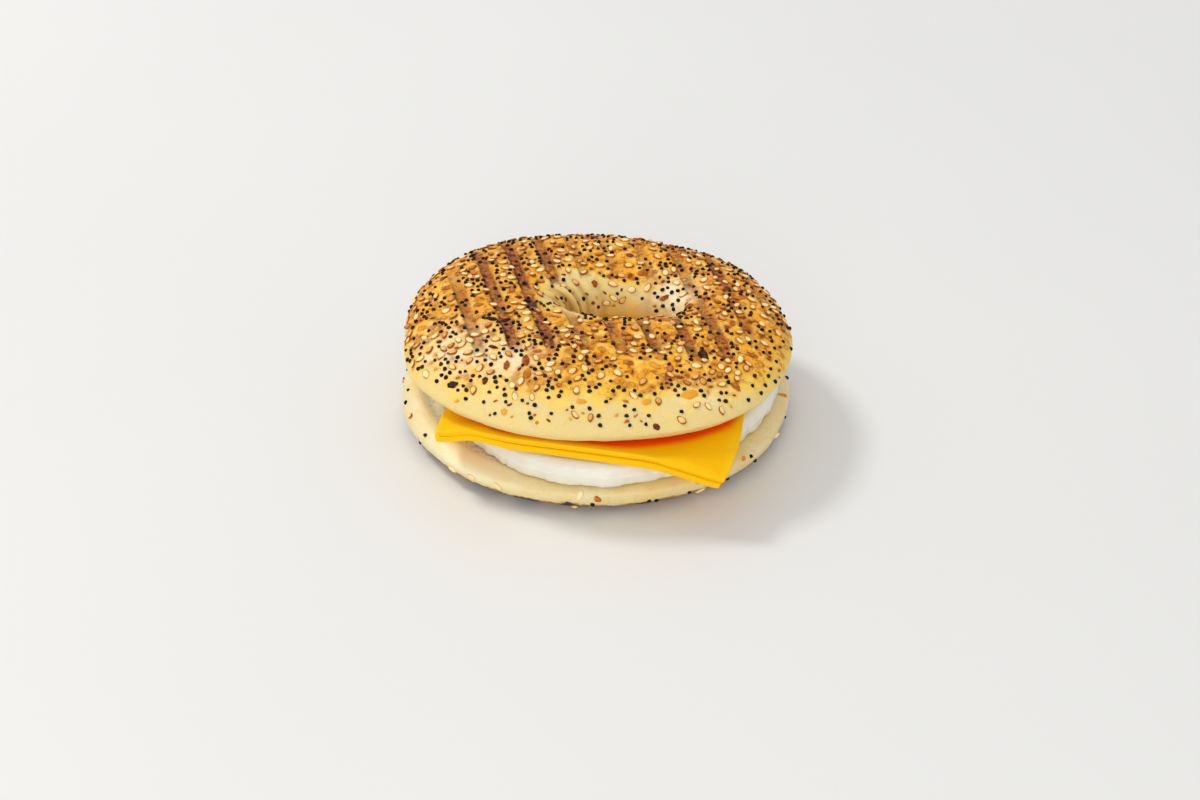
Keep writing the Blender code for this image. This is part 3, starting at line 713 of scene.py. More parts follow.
def top_crust_material(dough):
    look = Look("Toasted bagel crust")
    mottle, freckles, relief = look.skin(8.0, 1.6, 0.45)
    toast = look.field("toast") + (mottle * 0.36 - 0.20)
    crust = ramp(toast, ((0.0, dough.pale), (0.18, dough.pale), (0.55, dough.gold),
                         (1.0, dough.toasted)))
    yellow = look.grain(4.0, 3.0, 0.6, 0.3).between(0.48, 0.64) * toast.between(0.0, 0.35, 0.12, 0.75)
    crust = yellow.blend(crust, YELLOWED)
    patches = look.grain(3.0, 4.0, 0.65, 0.6).between(0.55, 0.62) * toast.between(0.35, 1.0, 0.0, 0.85)
    crust = patches.blend(crust, REDDENED)
    # Pale patches: flour, and painted highlights on the upper left, at the hole's right wall and along
    # the lip at the cut
    flour_and_painted_light = look.field("flour_and_painted_light") * look.grain(3.0, 3.0, 0.6).between(0.38, 0.6, 0.25, 0.9)
    crust = flour_and_painted_light.blend(crust, dough.flour_and_painted_light)
    # Painted shade in the furrows of the hole's wall
    crust = (look.field("painted_fold_shade") * 0.7).blend(crust, PAINTED_FOLD_SHADE)
    browned = freckles * toast.between(0.35, 0.9, 0.06, 0.60)
    # Darker beside the seeds: browning, and painted shade of the seeds
    seed_brown_and_shade = look.field("seed_browning_and_shade") * toast.between(0.2, 0.9, 0.05, 0.56)
    crust = calc("MAXIMUM", browned, seed_brown_and_shade).blend(crust, dough.dark)
    # Grill marks, from the distance to the middle line of the nearest one
    turn = radians(BAR_TURN)
    across = look.axis("X") * cos(turn) + look.axis("Y") * sin(turn)
    uneven = look.grain(3.2) * (1.5 * MM) - (0.75 * MM + BAR_MIDDLE + across_bars(BAGEL_MIDDLE))
    offset = calc("WRAP", across + uneven, 0.5 * BAR_PITCH, -0.5 * BAR_PITCH)
    press = look.field("press")
    broken = look.grain(6.5, 4.0, 0.6).between(0.38, 0.52, 0.55, 1.0)
    sides = offset.between(-2.15 * MM, -1.75 * MM) * offset.between(0.9 * MM, 1.9 * MM, 1.0, 0.0)
    mark = sides * (press * broken)
    halo = calc("ABSOLUTE", offset).between(1.7 * MM, 3.0 * MM, 0.28, 0.0) * press
    crust = halo.blend(crust, dough.dark)
    floor = look.grain(1.2, 4.0, 0.7).between(0.40, 0.60).blend(dough.grill, DARK_GRILL)
    # Painted shade: the left edge of each grill mark, its wall turned from the light, goes near black
    left = offset.between(-1.8 * MM, -0.7 * MM, 0.95, 0.0)
    burnt = look.grain(4.0, 4.0, 0.65).between(0.53, 0.60, 0.0, 0.9)
    floor = calc("MAXIMUM", left, burnt).blend(floor, dough.char)
    return look.finish((mark * 0.97).blend(crust, floor), mark * 0.15 + (relief * 0.35 + 0.22),
                       (relief, 0.7, 0.38), (0.12, (1.0, 0.5, 0.2), 1.2), 0.14)


def bottom_crust_material(dough):
    look = Look("Pale bagel crust")
    mottle, freckles, relief = look.skin(9.0, 1.2, 0.4)
    crust = ramp(mottle * 0.35 + look.field("toast"),
                 ((0.0, PALEST), (0.35, dough.pale), (0.75, TANNED), (1.0, dough.toasted)))
    crust = (freckles * 0.10).blend(crust, dough.dark)
    # Painted light: lifts the shade and the orange bounce beside the cheese's corner
    crust = look.field("flour_and_painted_light").blend(crust, PAINTED_LIGHT_SIDE)
    # The foot is toasted up to an uneven line, darkest in a thin band at its base that is partly burnt
    # crust and partly painted contact shadow
    level = look.axis("Z") + (look.grain(5.0, 4.0, 0.6) * (5.0 * MM) - 2.5 * MM)
    crust = level.between(3.2 * MM, 4.1 * MM, 0.9, 0.0).blend(crust, FOOT_TOAST_AND_SHADE)
    burnt = level.between(3.1 * MM, 3.7 * MM, 0.95, 0.0) * look.grain(6.0).between(0.48, 0.56)
    return look.finish(burnt.blend(crust, dough.char), relief * 0.3 + 0.33,
                       (relief, 0.4, 0.3), (0.15, (1.0, 0.55, 0.25), 1.5))


def crumb_material(dough):
    look = Look("Bagel crumb")
    fine = look.grain(0.7, 4.0, 0.65)
    pores = look.cells(1.6, "SMOOTH_F1", Smoothness=0.3, Randomness=1.0)
    # Painted shade in the pores, darker where the bump is deep
    depth = pores.between(0.10, 0.45) * fine
    return look.finish(depth.between(0.10, 0.45).blend(PAINTED_PORE_SHADE, dough.crumb),
                       fine.between(0.3, 0.7, 0.62, 0.85), (depth, 0.8, 0.8),
                       (0.2, (1.0, 0.7, 0.4), 1.5))


def egg_material(filling):
    look = Look("Cooked egg white")
    broad = look.grain(9.0, 3.0, 0.5, 0.5)
    fine = look.grain(1.1, 4.0, 0.6)
    tint = broad.between(0.45, 0.72) * 0.30 + look.field("low") * fine.between(0.35, 0.6, 0.25, 0.8)
    return look.finish(tint.blend(filling.egg, filling.egg_tint), fine.between(0.3, 0.7, 0.28, 0.48),
                       (fine + broad * 2.0, 0.35, 0.5), (0.35, (1.0, 0.85, 0.6), 2.0))


def cheese_material(filling):
    look = Look("Processed cheese")
    broad = look.grain(14.0, 2.0, 0.5)
    fine = look.grain(0.8, 3.0, 0.6)
    # The edge value also brings painted light to the left part of the slices
    edge = broad.between(0.35, 0.65) * 0.12 + look.field("edge")
    cheese = edge.blend(filling.cheese, filling.cheese_edge_and_light)
    # Painted shade: a red band under the top half's rim
    cheese = look.field("painted_rim_shade").blend(cheese, SHADED_CHEESE)
    return look.finish(cheese, fine.between(0.3, 0.7, 0.30, 0.42), (fine * 0.3 + broad, 0.3, 0.5),
                       (0.30, (1.0, 0.45, 0.04), 2.0), 0.06)


def sesame_material(toppings):
    look = Look("Toasted sesame")
    fine = look.grain(0.5, 3.0, 0.6)
    edge = look.field("edge") + (fine * 0.5 - 0.25)
    seed = ramp(edge.between(0.2, 0.8, 0.0, 0.85) + look.field("tone"),
                ((0.0, toppings.sesame_colour), (0.35, GOLDEN_SESAME), (0.75, toppings.sesame_edge),
                 (1.0, BURNT_SESAME)))
    return look.finish(seed, fine.between(0.3, 0.7, 0.3, 0.45), (fine, 0.3, 0.15),
                       (0.15, (1.0, 0.6, 0.3), 0.6), 0.25)


def poppy_material(toppings):
    look = Look("Poppy seed")
    pits = look.cells(0.22, "DISTANCE_TO_EDGE")
    seed = (pits + look.field("tone")).between(0.2, 1.2).blend(toppings.poppy_colour, BROWN_POPPY)
    return look.finish(seed, pits.between(0.0, 0.3, 0.45, 0.6), (pits, 0.4, 0.06), None, 0.08)


def flake_material(toppings):
    look = Look("Toasted onion flakes")
    fine = look.grain(1.0, 4.0, 0.65)
    pale = toppings.flake_pale
    flake = ramp(look.field("tone") + (fine * 0.7 - 0.35),
                 ((0.0, pale), (0.25, pale), (0.6, toppings.flake_brown), (0.9, toppings.flake_burnt)))
    return look.finish(flake, fine.between(0.3, 0.7, 0.35, 0.6), (fine, 0.6, 0.25),
                       (0.1, (1.0, 0.5, 0.2), 0.5), 0.15)


# Mesh building

def new_piece(name, data):
    item = bpy.data.objects.new(name, data)
    bpy.context.scene.collection.objects.link(item)
    return item


def ring_faces(rounds, count):
    """Quads between neighbouring sections of a ring, facing out."""
    faces = []
    for i in range(rounds):
        here = i * count
        there = (i + 1) % rounds * count
        for j in range(count):
            k = (j + 1) % count
            faces.append((here + j, there + j, there + k, here + k))
    return faces


def facing(points):
    """The outward directions of a ring's points, from its neighbours each way."""
    around = np.roll(points, -1, 0) - np.roll(points, 1, 0)
    over = np.roll(points, -1, 1) - np.roll(points, 1, 1)
    normals = np.cross(around, over)
    return normals / np.linalg.norm(normals, axis=2, keepdims=True)


def store(mesh, name, values):
    made = mesh.attributes.new(name, "FLOAT", "POINT")
    made.data.foreach_set("value", np.asarray(values, np.float32).ravel())


def crumb(dough):
    return bpy.data.materials.get("Bagel crumb") or crumb_material(dough)


def ring_mesh(name, points, values, materials, cut):
    """A half of the bagel from its sections, with its point values; its cut faces are crumb."""
    rounds, count = points.shape[:2]
    mesh = bpy.data.meshes.new(name)
    mesh.from_pydata((points.reshape(-1, 3) + np.array(BAGEL_MIDDLE)).tolist(), [],
                     ring_faces(rounds, count))
    for label, amounts in values.items():
        store(mesh, label, amounts)
    for material in materials:
        mesh.materials.append(material)
    cuts = [index % count in cut for index in range(len(mesh.polygons))]
    mesh.polygons.foreach_set("material_index", cuts)
    return mesh


def finish_piece(item, slot, *nodes):
    """Smooths a piece, makes it ride, and hides the parts that it stands for. Its slot is not used."""
    item.data.shade_smooth()
    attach(item, "root")
    if nodes:
        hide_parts(*nodes)


def fine_relief(point, size):
    """Small unevenness of a baked skin, in two sizes."""
    return size * (noise.noise(point / SKIN_PITCH) + 0.5 * noise.noise(point / SKIN_FINE_PITCH))


def bar_tone(point):
    """How dark the nearest grill mark is at a point."""
    nearest = round((across_bars(point) - BAR_MIDDLE) / BAR_PITCH) + len(BAR_TONES) // 2
    back, front = BAR_TONES[max(0, min(len(BAR_TONES) - 1, nearest))]
    return front + (back - front) * smooth(point.y, 0.0, BAR_TONE_RUN)


def mark_profile(offset):
    """How far down a grill mark's section is: 1 on its floor, a little under 0 at its lips."""
    out = abs(offset) - 0.5 * BAR_WIDTH
    return smooth(out, *BAR_WALL) - BAR_LIP * exp(-((out - BAR_LIP_OUT) / BAR_LIP_WIDTH) ** 2)


class BAGEL_OT_top_half(bpy.types.Operator):
    """Makes the top half: seeded crust with grill marks, and the cut face under it"""

    bl_idname = "bagel.top_half"
    bl_label = "Top half"
    rounds = 500
    crust_steps = 156
    cut_steps = 34

    def execute(self, context):
        dough = context.scene.bagel_dough
        count = self.crust_steps + self.cut_steps
        whole = 180.0 + 2.0 * TOP_UNDER
        base = np.zeros((self.rounds, count, 3))
        for i in range(self.rounds):
            angle = tau * i / self.rounds
            for j in range(self.crust_steps + 1):
                base[i, j] = top_crust(angle, -TOP_UNDER + whole * j / self.crust_steps)
            start = base[i, self.crust_steps]
            for j in range(self.crust_steps + 1, count):
                share = (j - self.crust_steps) / self.cut_steps
                base[i, j] = start + (base[i, 0] - start) * share
        normals = facing(base)
        toast, press, flour_and_painted_light, painted_fold_shade = np.zeros((4, self.rounds, count))
        for i in range(self.rounds):
            angle = tau * i / self.rounds
            for j in range(self.crust_steps + 1):
                point = Vector(base[i, j])
                depth = bar_depth(point) / BAR_DEPTH
                turn = -TOP_UNDER + whole * j / self.crust_steps
                keep = min(1.0, j / 8.0, (self.crust_steps - j) / 8.0)
                rise = keep * fine_relief(point, dough.relief)
                if turn > CREASES_FROM:
                    crease = humps(angle, CREASES) * smooth(turn, CREASES_FROM, CREASES_FULL) * keep
                    rise += CREASE_HEIGHT * crease
                    # Painted shade: how deep the furrow is
                    painted_fold_shade[i, j] = max(0.0, min(1.0, -crease))
                rise -= dough.groove * depth * mark_profile(bar_offset(point))
                base[i, j] += normals[i, j] * rise
                press[i, j] = depth * bar_tone(point)
                end = toasted_turn(angle)
                inside = HOLE_TOAST + (1.0 - HOLE_TOAST) * smooth(beyond_hole(point), 0.70, 1.0)
                toast[i, j] = smooth(turn, end - TOAST_BELOW, end + TOAST_ABOVE) * inside
                toast[i, j] *= left_by_flour_and_highlight(point)
                # The lip at the cut edge is paler: paler crumb edge and painted highlight
                lip = LIP_PALE_AND_HIGHLIGHT * (1.0 - smooth(j, 6.0, 11.0))
                flour_and_painted_light[i, j] = max(lip, flour_and_highlight(point) * smooth(turn, 6.0, 24.0))
            for j in range(self.crust_steps + 1, count):
                point = Vector(base[i, j])
                keep = min(1.0, (j - self.crust_steps) / 4.0, (count - j) / 4.0)
                base[i, j, 2] += CRUMB_RELIEF * noise.noise(point / CRUMB_PITCH) * keep
        values = {"toast": toast, "press": press, "flour_and_painted_light": flour_and_painted_light, "painted_fold_shade": painted_fold_shade}
        mesh = ring_mesh("bagel_top_fine", base, values, (top_crust_material(dough), crumb(dough)),
                         range(self.crust_steps, count))
        finish_piece(new_piece("crust_of_top_half", mesh), "crust_top", "bagel_top")
        return {"FINISHED"}


class BAGEL_OT_bottom_half(bpy.types.Operator):
    """Makes the bottom half: pale crust, cut face and flat base"""

    bl_idname = "bagel.bottom_half"
    bl_label = "Bottom half"
    rounds = 440
    crust_steps = 52
    cut_steps = 34
    wall_steps = 6
    base_steps = 12

    def section(self, angle):
        """Points from the base's edge up the crust, in along the cut, down the hole and back."""
        run = [bottom_crust(angle, -90.0 + 180.0 * j / self.crust_steps)
               for j in range(self.crust_steps + 1)]
        rim = run[-1].copy()
        rim.z = BOTTOM_CUT
        inner = hole_edge(angle, HOLE_GROWTH[0], BOTTOM_CUT)
        for j in range(1, self.cut_steps + 1):
            share = j / self.cut_steps
            point = rim.lerp(inner, share)
            point.z += (run[self.crust_steps].z - BOTTOM_CUT) * (1.0 - smooth(share, 0.0, 0.09))
            run.append(point)
        corners = (inner, hole_edge(angle, HOLE_GROWTH[1], 0.5 * BOTTOM_CUT),
                   hole_edge(angle, HOLE_GROWTH[2]))
        for first, second in zip(corners, corners[1:]):
            for j in range(1, self.wall_steps + 1):
                run.append(first.lerp(second, j / self.wall_steps))
        for j in range(1, self.base_steps):
            run.append(corners[2].lerp(direction(angle) * BASE_RADIUS, j / self.base_steps))
        return run

    def execute(self, context):
        dough = context.scene.bagel_dough
        base = np.array([self.section(tau * i / self.rounds) for i in range(self.rounds)])
        count = base.shape[1]
        normals = facing(base)
        toast, flour_and_painted_light = np.zeros((2, self.rounds, count))
        last_cut = self.crust_steps + self.cut_steps
        for i in range(self.rounds):
            for j in range(last_cut):
                point = Vector(base[i, j])
                if j <= self.crust_steps:
                    keep = min(1.0, j / 6.0, (self.crust_steps - j) / 5.0)
                    base[i, j] += normals[i, j] * keep * fine_relief(point, dough.relief)
                    toast[i, j] = FOOT_TOAST * smooth(point.z, FOOT_HEIGHT, 0.0)
                    # Painted light on the side beside the cheese's corner, where shade falls
                    flour_and_painted_light[i, j] = humps(tau * i / self.rounds, SIDE_SHADE_LIFT)
                    flour_and_painted_light[i, j] *= smooth(point.z, *SIDE_SHADE_LIFT_HEIGHTS)
                else:
                    keep = min(1.0, (j - self.crust_steps) / 4.0, (last_cut - j) / 4.0)
                    base[i, j, 2] += 0.8 * CRUMB_RELIEF * keep * noise.noise(point / CRUMB_PITCH)
        mesh = ring_mesh("bagel_bottom_fine", base, {"toast": toast, "flour_and_painted_light": flour_and_painted_light},
                         (bottom_crust_material(dough), crumb(dough)),
                         range(self.crust_steps + 1, last_cut + 2 * self.wall_steps))
        finish_piece(new_piece("crust_of_bottom_half", mesh), "crust_bottom", "bagel_bottom")
        return {"FINISHED"}


class BAGEL_OT_egg_white(bpy.types.Operator):
    """Makes the round of cooked egg white"""

    bl_idname = "bagel.egg_white"
    bl_label = "Egg white"
    rounds = 300
    steps_each = 7

    def profile(self):
        """Inset and height share along the egg's section, smooth through its rings."""
        rings = [(44.0, 0.0)] + list(EGG_RINGS) + [(48.0, 1.0)]
        line = []
        for index in range(len(rings) - 1):
            before = rings[max(0, index - 1)]
            here = rings[index]
            there = rings[index + 1]
            after = rings[min(len(rings) - 1, index + 2)]
            for step in range(self.steps_each):
                share = step / self.steps_each
                pair = []
                for axis in (0, 1):
                    rise = there[axis] - here[axis]
                    most = 2.0 * abs(rise)
                    first = max(min(0.5 * (there[axis] - before[axis]), most), -most)
                    second = max(min(0.5 * (after[axis] - here[axis]), most), -most)
                    cube = first + second - 2.0 * rise
                    square = 3.0 * rise - 2.0 * first - second
                    pair.append(here[axis] + share * (first + share * (square + share * cube)))
                line.append(pair)
        line.append(list(rings[-1]))
        return line

    def execute(self, context):
        line = self.profile()
        points = []
        low = []
        for i in range(self.rounds):
            angle = tau * i / self.rounds
            out = direction(angle)
            for inset, share in line:
                radius = egg_radius(angle) - inset * MM
                side = exp(-(inset / EGG_SIDE) ** 2)
                radius -= EGG_RIPPLE * noise.noise(out * 3.0) * side
                wobble = noise.noise(out * 9.0 + Vector((share, 0.0, 0.0)))
                ragged = noise.noise(out * 26.0 + Vector((0.0, share, 0.0)))
                uneven = EGG_UNEVEN * wobble * (1.0 - share)
                uneven += EGG_RAGGED * ragged * (1.0 - 0.7 * share)
                radius += MM * side * uneven
                ridge = exp(-((share - 0.5 - 0.12 * wobble) / EGG_RIDGE_WIDTH) ** 2)
                radius += EGG_RIDGE * side * ridge * (0.6 + 0.8 * noise.noise(out * 5.0))
                point = out * max(radius, MM)
                point.z = EGG_FOOT + (EGG_TOP - EGG_FOOT) * max(0.0, min(1.0, share))
                if share > 0.5:
                    point.z += EGG_DIMPLES * (noise.noise(point / EGG_DIMPLE_PITCH) - 0.6)
                points.append(point + BAGEL_MIDDLE)
                low.append(side * (1.0 - smooth(share, 0.0, 0.35)))
        count = len(line)
        faces = [face for index, face in enumerate(ring_faces(self.rounds, count))
                 if index % count != count - 1]
        faces.append([i * count for i in range(self.rounds)][::-1])
        faces.append([i * count + count - 1 for i in range(self.rounds)])
        mesh = bpy.data.meshes.new("egg_white_fine")
        mesh.from_pydata(points, [], faces)
        store(mesh, "low", low)
        item = new_piece("cooked_egg_white", mesh)
        mesh.materials.append(egg_material(context.scene.bagel_filling))
        finish_piece(item, "egg", "egg_white")
        return {"FINISHED"}


def drape(x, y):
    """Where a point of a flat sheet ends up on the egg, and the way up from the sheet there."""
    angle = atan2(y, x)
    start = egg_radius(angle) + BEND_PAST_EDGE
    away = ((x - RIPPLE_AT[0]) ** 2 + (y - RIPPLE_AT[1]) ** 2) / RIPPLE_RADIUS ** 2
    height = EGG_TOP + SLICE_GAP + RIPPLE_HEIGHT * exp(-away)
    past = hypot(x, y) - start
    if past <= 0.0:
        return Vector((x, y, height)), Vector((0.0, 0.0, 1.0))
    steepest = BEND_ANGLE
    for size, peak, turns in BEND_WAVES:
        steepest += size * cos(turns * (angle - radians(peak)))
    bend = min(past / BEND_RADIUS, radians(steepest))
    straight = past - BEND_RADIUS * bend
    out = direction(angle)
    place = out * (start + BEND_RADIUS * sin(bend) + straight * cos(bend))
    place.z = height - BEND_RADIUS * (1.0 - cos(bend)) - straight * sin(bend)
    return place, out * sin(bend) + Vector((0.0, 0.0, cos(bend)))


def slice_spot(u, v, shift, turn):
    """A point of a flat slice, from -1 to 1 each way, with slightly rounded corners."""
    half = 0.5 * SLICE_SIDE * (1.0 - 0.02 * abs(u * v) ** 12)
    turn = radians(SLICE_TURN + turn)
    return (SLICE_MIDDLE[0] + shift[0] + half * (u * cos(turn) - v * sin(turn)),
            SLICE_MIDDLE[1] + shift[1] + half * (u * sin(turn) + v * cos(turn)))


class BAGEL_OT_cheese(bpy.types.Operator):
    """Makes the two slices of cheese, draped over the egg white"""

    bl_idname = "bagel.cheese"
    bl_label = "Cheese slices"
    cells = 110

    def make_slice(self, name, lift, shift, turn, thickness, material, node):
        bpy.ops.mesh.primitive_grid_add(x_subdivisions=self.cells, y_subdivisions=self.cells, size=2.0)
        item = bpy.context.active_object
        item.name = name
        for vertex in item.data.vertices:
            place, up = drape(*slice_spot(vertex.co.x, vertex.co.y, shift, turn))
            wavy = SLICE_WAVE * noise.noise(place / SLICE_WAVE_PITCH)
            wavy *= part_of(place.xy.length, 40.0 * MM, 50.0 * MM)
            vertex.co = place + up * (lift + wavy) + BAGEL_MIDDLE
        thick = item.modifiers.new("Thickness", "SOLIDIFY")
        thick.thickness = thickness
        thick.offset = 1.0
        soft = item.modifiers.new("Soft edges", "BEVEL")
        soft.width = SLICE_BEVEL
        soft.segments = 3
        soft.limit_method = "ANGLE"
        soft.angle_limit = radians(50.0)
        bpy.ops.object.modifier_apply(modifier="Thickness")
        bpy.ops.object.modifier_apply(modifier="Soft edges")
        turned = Matrix.Rotation(-radians(SLICE_TURN + turn), 2)
        middle = Vector((SLICE_MIDDLE[0] + shift[0], SLICE_MIDDLE[1] + shift[1]))
        edge = []
        painted_rim_shade = []
        for vertex in item.data.vertices:
            flat = turned @ (vertex.co.xy - BAGEL_MIDDLE.xy - middle)
            near = 0.5 * SLICE_SIDE - max(abs(flat.x), abs(flat.y))
            place = vertex.co - BAGEL_MIDDLE
            # Painted light: the left part of each slice takes the lighter, yellower edge colour
            left = 0.8 * smooth(-place.x, *SLICE_LEFT_LIGHT)
            edge.append(max(smooth(near, *SLICE_EDGE), left))
            angle = atan2(place.y, place.x)
            # Painted shade under the top half's rim, in a band by the distance in from it
            inside = wave(TOP_RADIUS, TOP_WAVES, angle) - TOP_TUCK - place.xy.length
            band = smooth(inside, *SHADE_OUT) * smooth(inside, *SHADE_IN)
            painted_rim_shade.append(band * smooth(near, *SHADE_EDGE) * smooth(place.x, *SHADE_RIGHT))
        store(item.data, "edge", edge)
        store(item.data, "painted_rim_shade", painted_rim_shade)
        item.data.materials.append(material)
        finish_piece(item, "cheese", node)

    def execute(self, context):
        filling = context.scene.bagel_filling
        material = cheese_material(filling)
        self.make_slice("cheese_slice_lower", 0.0, (0.0, 0.0), 0.0,
                        filling.thickness + 0.8 * SLICE_GAP, material, "cheese_lower")
        self.make_slice("cheese_slice_upper", filling.thickness + SLICE_GAP, UPPER_SHIFT, UPPER_TURN,
                        filling.thickness, material, "cheese_upper")
        return {"FINISHED"}


# Seeds and flakes

def draw_size(kind, wanted, rng):
    """Half the length, width and thickness of a fused seed, drawn as the part's source draws it."""
    if kind == "sesame":
        return rng.uniform(1.4, 1.65), rng.uniform(0.85, 1.0), rng.uniform(0.45, 0.55)
    size = (rng.uniform(1.1, 1.7), rng.uniform(0.8, 1.2), rng.uniform(0.40, 0.55))
    for _ in range(FLAKE_CORNERS):
        rng.uniform(-1.0, 1.0)
    return (*wanted, size[2]) if wanted else size


def seed_points(kind, size, rng):
    """The shape of one seed that lies flat on the origin, and how near its rim each point is."""
    shape = bmesh.new()
    segments, rings = {"flake": (14, 8), "sesame": (12, 7), "poppy": (8, 6)}[kind]
    bmesh.ops.create_uvsphere(shape, u_segments=segments, v_segments=rings, radius=1.0)
    start = Vector([rng.uniform(0.0, 50.0) for _ in range(3)])
    curl = rng.uniform(-0.25, 0.35)
    edge = []
    for vertex in shape.verts:
        x, y, z = vertex.co
        edge.append(1.0 - abs(z))
        if kind == "flake":
            ragged = 1.0 + 0.45 * noise.noise(Vector((x, y, 0.3 * z)) * 1.6 + start)
            thin = 0.75 + 0.5 * noise.noise(Vector((x, y, z)) * 2.5 + start)
            x, y, z = x * ragged, y * ragged, power(z, 0.8) * thin
            z += curl * (x * x + 0.5 * x * y)
        elif kind == "sesame":
            y *= 1.0 - 0.30 * x - 0.12 * x * x
            z *= 1.0 - 0.25 * x
            edge[-1] = min(1.0, edge[-1] + 0.25 * max(0.0, x))
        else:
            y += 0.22 * x * x
            z *= 1.0 + 0.2 * noise.noise(vertex.co * 1.5 + start)
        vertex.co = (x * size[0] * MM, y * size[1] * MM, z * size[2] * MM)
    return shape, edge


class SeedPile:
    """Collects the seeds of one kind into one mesh."""

    def __init__(self, name, kind):
        self.name = name
        self.kind = kind
        self.spines = []
        self.verts = []
        self.faces = []
        self.edge = []
        self.tone = []

    def put(self, tree, spot, out, spin, size, tone, sink, rng):
        """Lays one seed on the nearest point of a crust."""
        near = tree.find_nearest(spot)[0]
        shape, edge = seed_points(self.kind, size, rng)
        turned = (out.to_track_quat("Z", "Y").to_matrix() @ Matrix.Rotation(spin, 3, "Z")).to_4x4()
        shape.transform(Matrix.Translation(near - out * sink) @ turned)
        for share in (-0.5, 0.0, 0.5):
            self.spines.append(near + turned @ Vector((share * size[0] * MM, 0.0, 0.0)))
        start = len(self.verts)
        shape.verts.ensure_lookup_table()
        self.verts.extend(vertex.co.copy() for vertex in shape.verts)
        self.faces.extend([start + vertex.index for vertex in face.verts] for face in shape.faces)
        self.edge.extend(edge)
        self.tone.extend([tone] * len(edge))
        shape.free()

    def finish(self, material, slot):
        mesh = bpy.data.meshes.new(self.name)
        mesh.from_pydata(self.verts, [], self.faces)
        store(mesh, "edge", self.edge)
        store(mesh, "tone", self.tone)
        mesh.materials.append(material)
        finish_piece(new_piece(self.name, mesh), slot)


class BAGEL_OT_toppings(bpy.types.Operator):
    """Lays sesame, poppy seeds and onion flakes on both halves"""

    bl_idname = "bagel.toppings"
    bl_label = "Seeds and flakes"

    def lay(self, crust_name, crust, turns, flakes, tones, fused, share, more, thicker, start, piles):
        """The fused seeds' fine shapes first, then more of each kind between them."""
        graph = bpy.context.evaluated_depsgraph_get()
        tree = BVHTree.FromObject(bpy.data.objects[crust_name], graph)
        rng = random.Random(start)
        placed = []
        scatter(crust, turns, flakes, fused, share, rng, placed)
        sizes = [draw_size(seed[0], seed[5], rng) for seed in placed]
        loose = random.Random(start + 100)
        scatter(crust, turns, (), more, thicker, loose, placed)
        for index, (kind, point, out, spin, room, _) in enumerate(placed):
            if index < len(sizes):
                size = sizes[index]
            elif kind == "poppy":
                grown = loose.uniform(0.56, 0.74)
                size = (grown, 0.85 * grown, 0.85 * grown)
            else:
                limits = LOOSE_SIZES["bit" if room < BIT_ROOM else kind]
                size = [loose.uniform(low, high) for low, high in limits]
            tone = {"flake": loose.uniform(0.1, 0.85), "sesame": 0.8 * loose.random() ** 2,
                    "poppy": loose.uniform(0.0, 1.0)}[kind]
            if index < len(tones):
                tone = tones[index]
            elif kind == "sesame" and point.z < BOTTOM_CUT:
                tone = -0.6 + 0.3 * tone
            tilt = Vector([loose.uniform(-LEAN[kind], LEAN[kind]) for _ in range(3)])
            piles[kind].put(tree, point + BAGEL_MIDDLE, (out + tilt).normalized(), spin, size, tone,
                            SINK[kind] * MM, loose)

    def brown_and_shade_beside_seeds(self, crust_name, spines):
        """Marks how close each point of a crust is to a seed, where it browns and takes painted shade.
        """
        mesh = bpy.data.objects[crust_name].data
        nearest = KDTree(len(spines))
        for index, spine in enumerate(spines):
            nearest.insert(spine, index)
        nearest.balance()
        reach = [smooth(nearest.find(vertex.co)[2], *BROWN_AND_SHADE_REACH) for vertex in mesh.vertices]
        store(mesh, "seed_browning_and_shade", reach)

    def execute(self, context):
        toppings = context.scene.bagel_toppings
        piles = {kind: SeedPile(name, kind) for kind, name in (
            ("sesame", "sesame_seeds"), ("poppy", "poppy_seeds"), ("flake", "onion_flakes"))}
        more = (("flake", toppings.flakes, 2.4 * MM), ("sesame", toppings.sesame, 2.1 * MM),
                ("poppy", toppings.poppy, 1.35 * MM), ("flake", toppings.bits, 1.2 * MM))
        self.lay("crust_of_top_half", top_crust, TOP_TURNS, TOP_FLAKES, TOP_FLAKE_TONES,
                 TOP_SEEDS, top_share, more, loose_share, SEED_START, piles)
        self.lay("crust_of_bottom_half", bottom_crust, BOTTOM_TURNS, BOTTOM_FLAKES,
                 BOTTOM_FLAKE_TONES, BOTTOM_SEEDS, bottom_share, BOTTOM_MORE, bottom_share,
                 SEED_START + 1, piles)
        self.brown_and_shade_beside_seeds("crust_of_top_half", piles["sesame"].spines + piles["flake"].spines)
        for kind, material in (("sesame", sesame_material), ("poppy", poppy_material),
                               ("flake", flake_material)):
            piles[kind].finish(material(toppings), "crust_top")
        return {"FINISHED"}


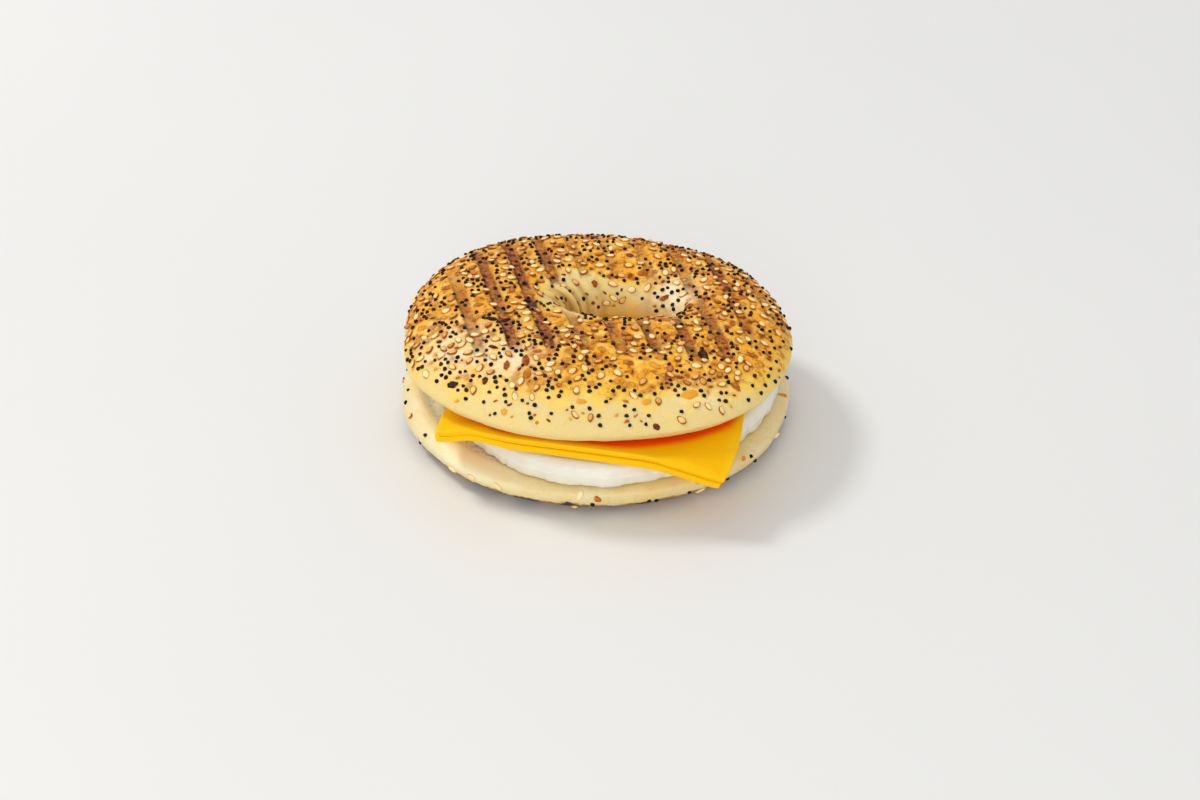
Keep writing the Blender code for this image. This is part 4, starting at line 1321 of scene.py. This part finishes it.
class BAGEL_OT_stage(bpy.types.Operator):
    """Makes the floor, the lights and the camera"""

    bl_idname = "bagel.stage"
    bl_label = "Stage"

    def execute(self, context):
        scene = context.scene
        stage = scene.bagel_stage
        bpy.ops.mesh.primitive_plane_add(size=6.0)
        floor = context.active_object
        floor.name = "floor"
        look = Look("Pale table")
        darker = tuple(0.985 * value for value in stage.floor)
        tint = look.grain(250.0, 2.0, 0.5).between(0.3, 0.7).blend(stage.floor, darker)
        floor.data.materials.append(look.finish(tint, 0.35))
        world = bpy.data.worlds.new("Room")
        world.use_nodes = True
        sky = world.node_tree.nodes["Background"]
        sky.inputs["Color"].default_value = (1.0, 1.0, 1.0, 1.0)
        sky.inputs["Strength"].default_value = stage.fill
        scene.world = world
        for name, place, size, share, tint in LIGHTS:
            lamp = bpy.data.lights.new(name, "AREA")
            lamp.shape = "DISK"
            lamp.size = size
            lamp.energy = share * stage.key
            lamp.color = tint
            item = new_piece(name, lamp)
            item.location = place
            item.rotation_euler = (LIGHTS_AIM - Vector(place)).to_track_quat("-Z", "Y").to_euler()
        eye = bpy.data.cameras.new("camera")
        eye.lens = stage.lens
        eye.sensor_fit = "HORIZONTAL"
        eye.sensor_width = 36.0
        eye.clip_start = 0.01
        camera = new_piece("camera", eye)
        back = Vector((0.0, -cos(stage.height), sin(stage.height)))
        camera.location = CAMERA_AIM + stage.distance * back
        camera.rotation_euler = (0.5 * pi - stage.height, 0.0, 0.0)
        scene.camera = camera
        scene.view_settings.view_transform = "Standard"
        return {"FINISHED"}


class BAGEL_PT_panel(bpy.types.Panel):
    """Lists the pieces of the sandwich with their sizes and colours"""

    bl_idname = "BAGEL_PT_panel"
    bl_label = "Bagel sandwich"
    bl_space_type = "VIEW_3D"
    bl_region_type = "UI"
    bl_category = "Bagel"

    def draw(self, context):
        for operator in PIECES:
            self.layout.operator(operator.bl_idname)
        for name, group in GROUPS.items():
            box = self.layout.box()
            for value in group.__annotations__:
                box.prop(getattr(context.scene, name), value)


GROUPS = {"bagel_dough": BagelDough, "bagel_filling": BagelFilling, "bagel_toppings": BagelToppings,
          "bagel_stage": BagelStage}
PIECES = (BAGEL_OT_bottom_half, BAGEL_OT_egg_white, BAGEL_OT_cheese, BAGEL_OT_top_half,
          BAGEL_OT_toppings, BAGEL_OT_stage)


def register():
    for item in (*GROUPS.values(), *PIECES, BAGEL_PT_panel):
        bpy.utils.register_class(item)
    for name, group in GROUPS.items():
        setattr(bpy.types.Scene, name, bpy.props.PointerProperty(type=group))


def unregister():
    for name in GROUPS:
        delattr(bpy.types.Scene, name)
    for item in reversed((*GROUPS.values(), *PIECES, BAGEL_PT_panel)):
        bpy.utils.unregister_class(item)


def main():
    register()
    bpy.ops.bagel.stage()
    bpy.ops.bagel.bottom_half()
    bpy.ops.bagel.egg_white()
    bpy.ops.bagel.cheese()
    bpy.ops.bagel.top_half()
    bpy.ops.bagel.toppings()


if __name__ == "__main__":
    main()
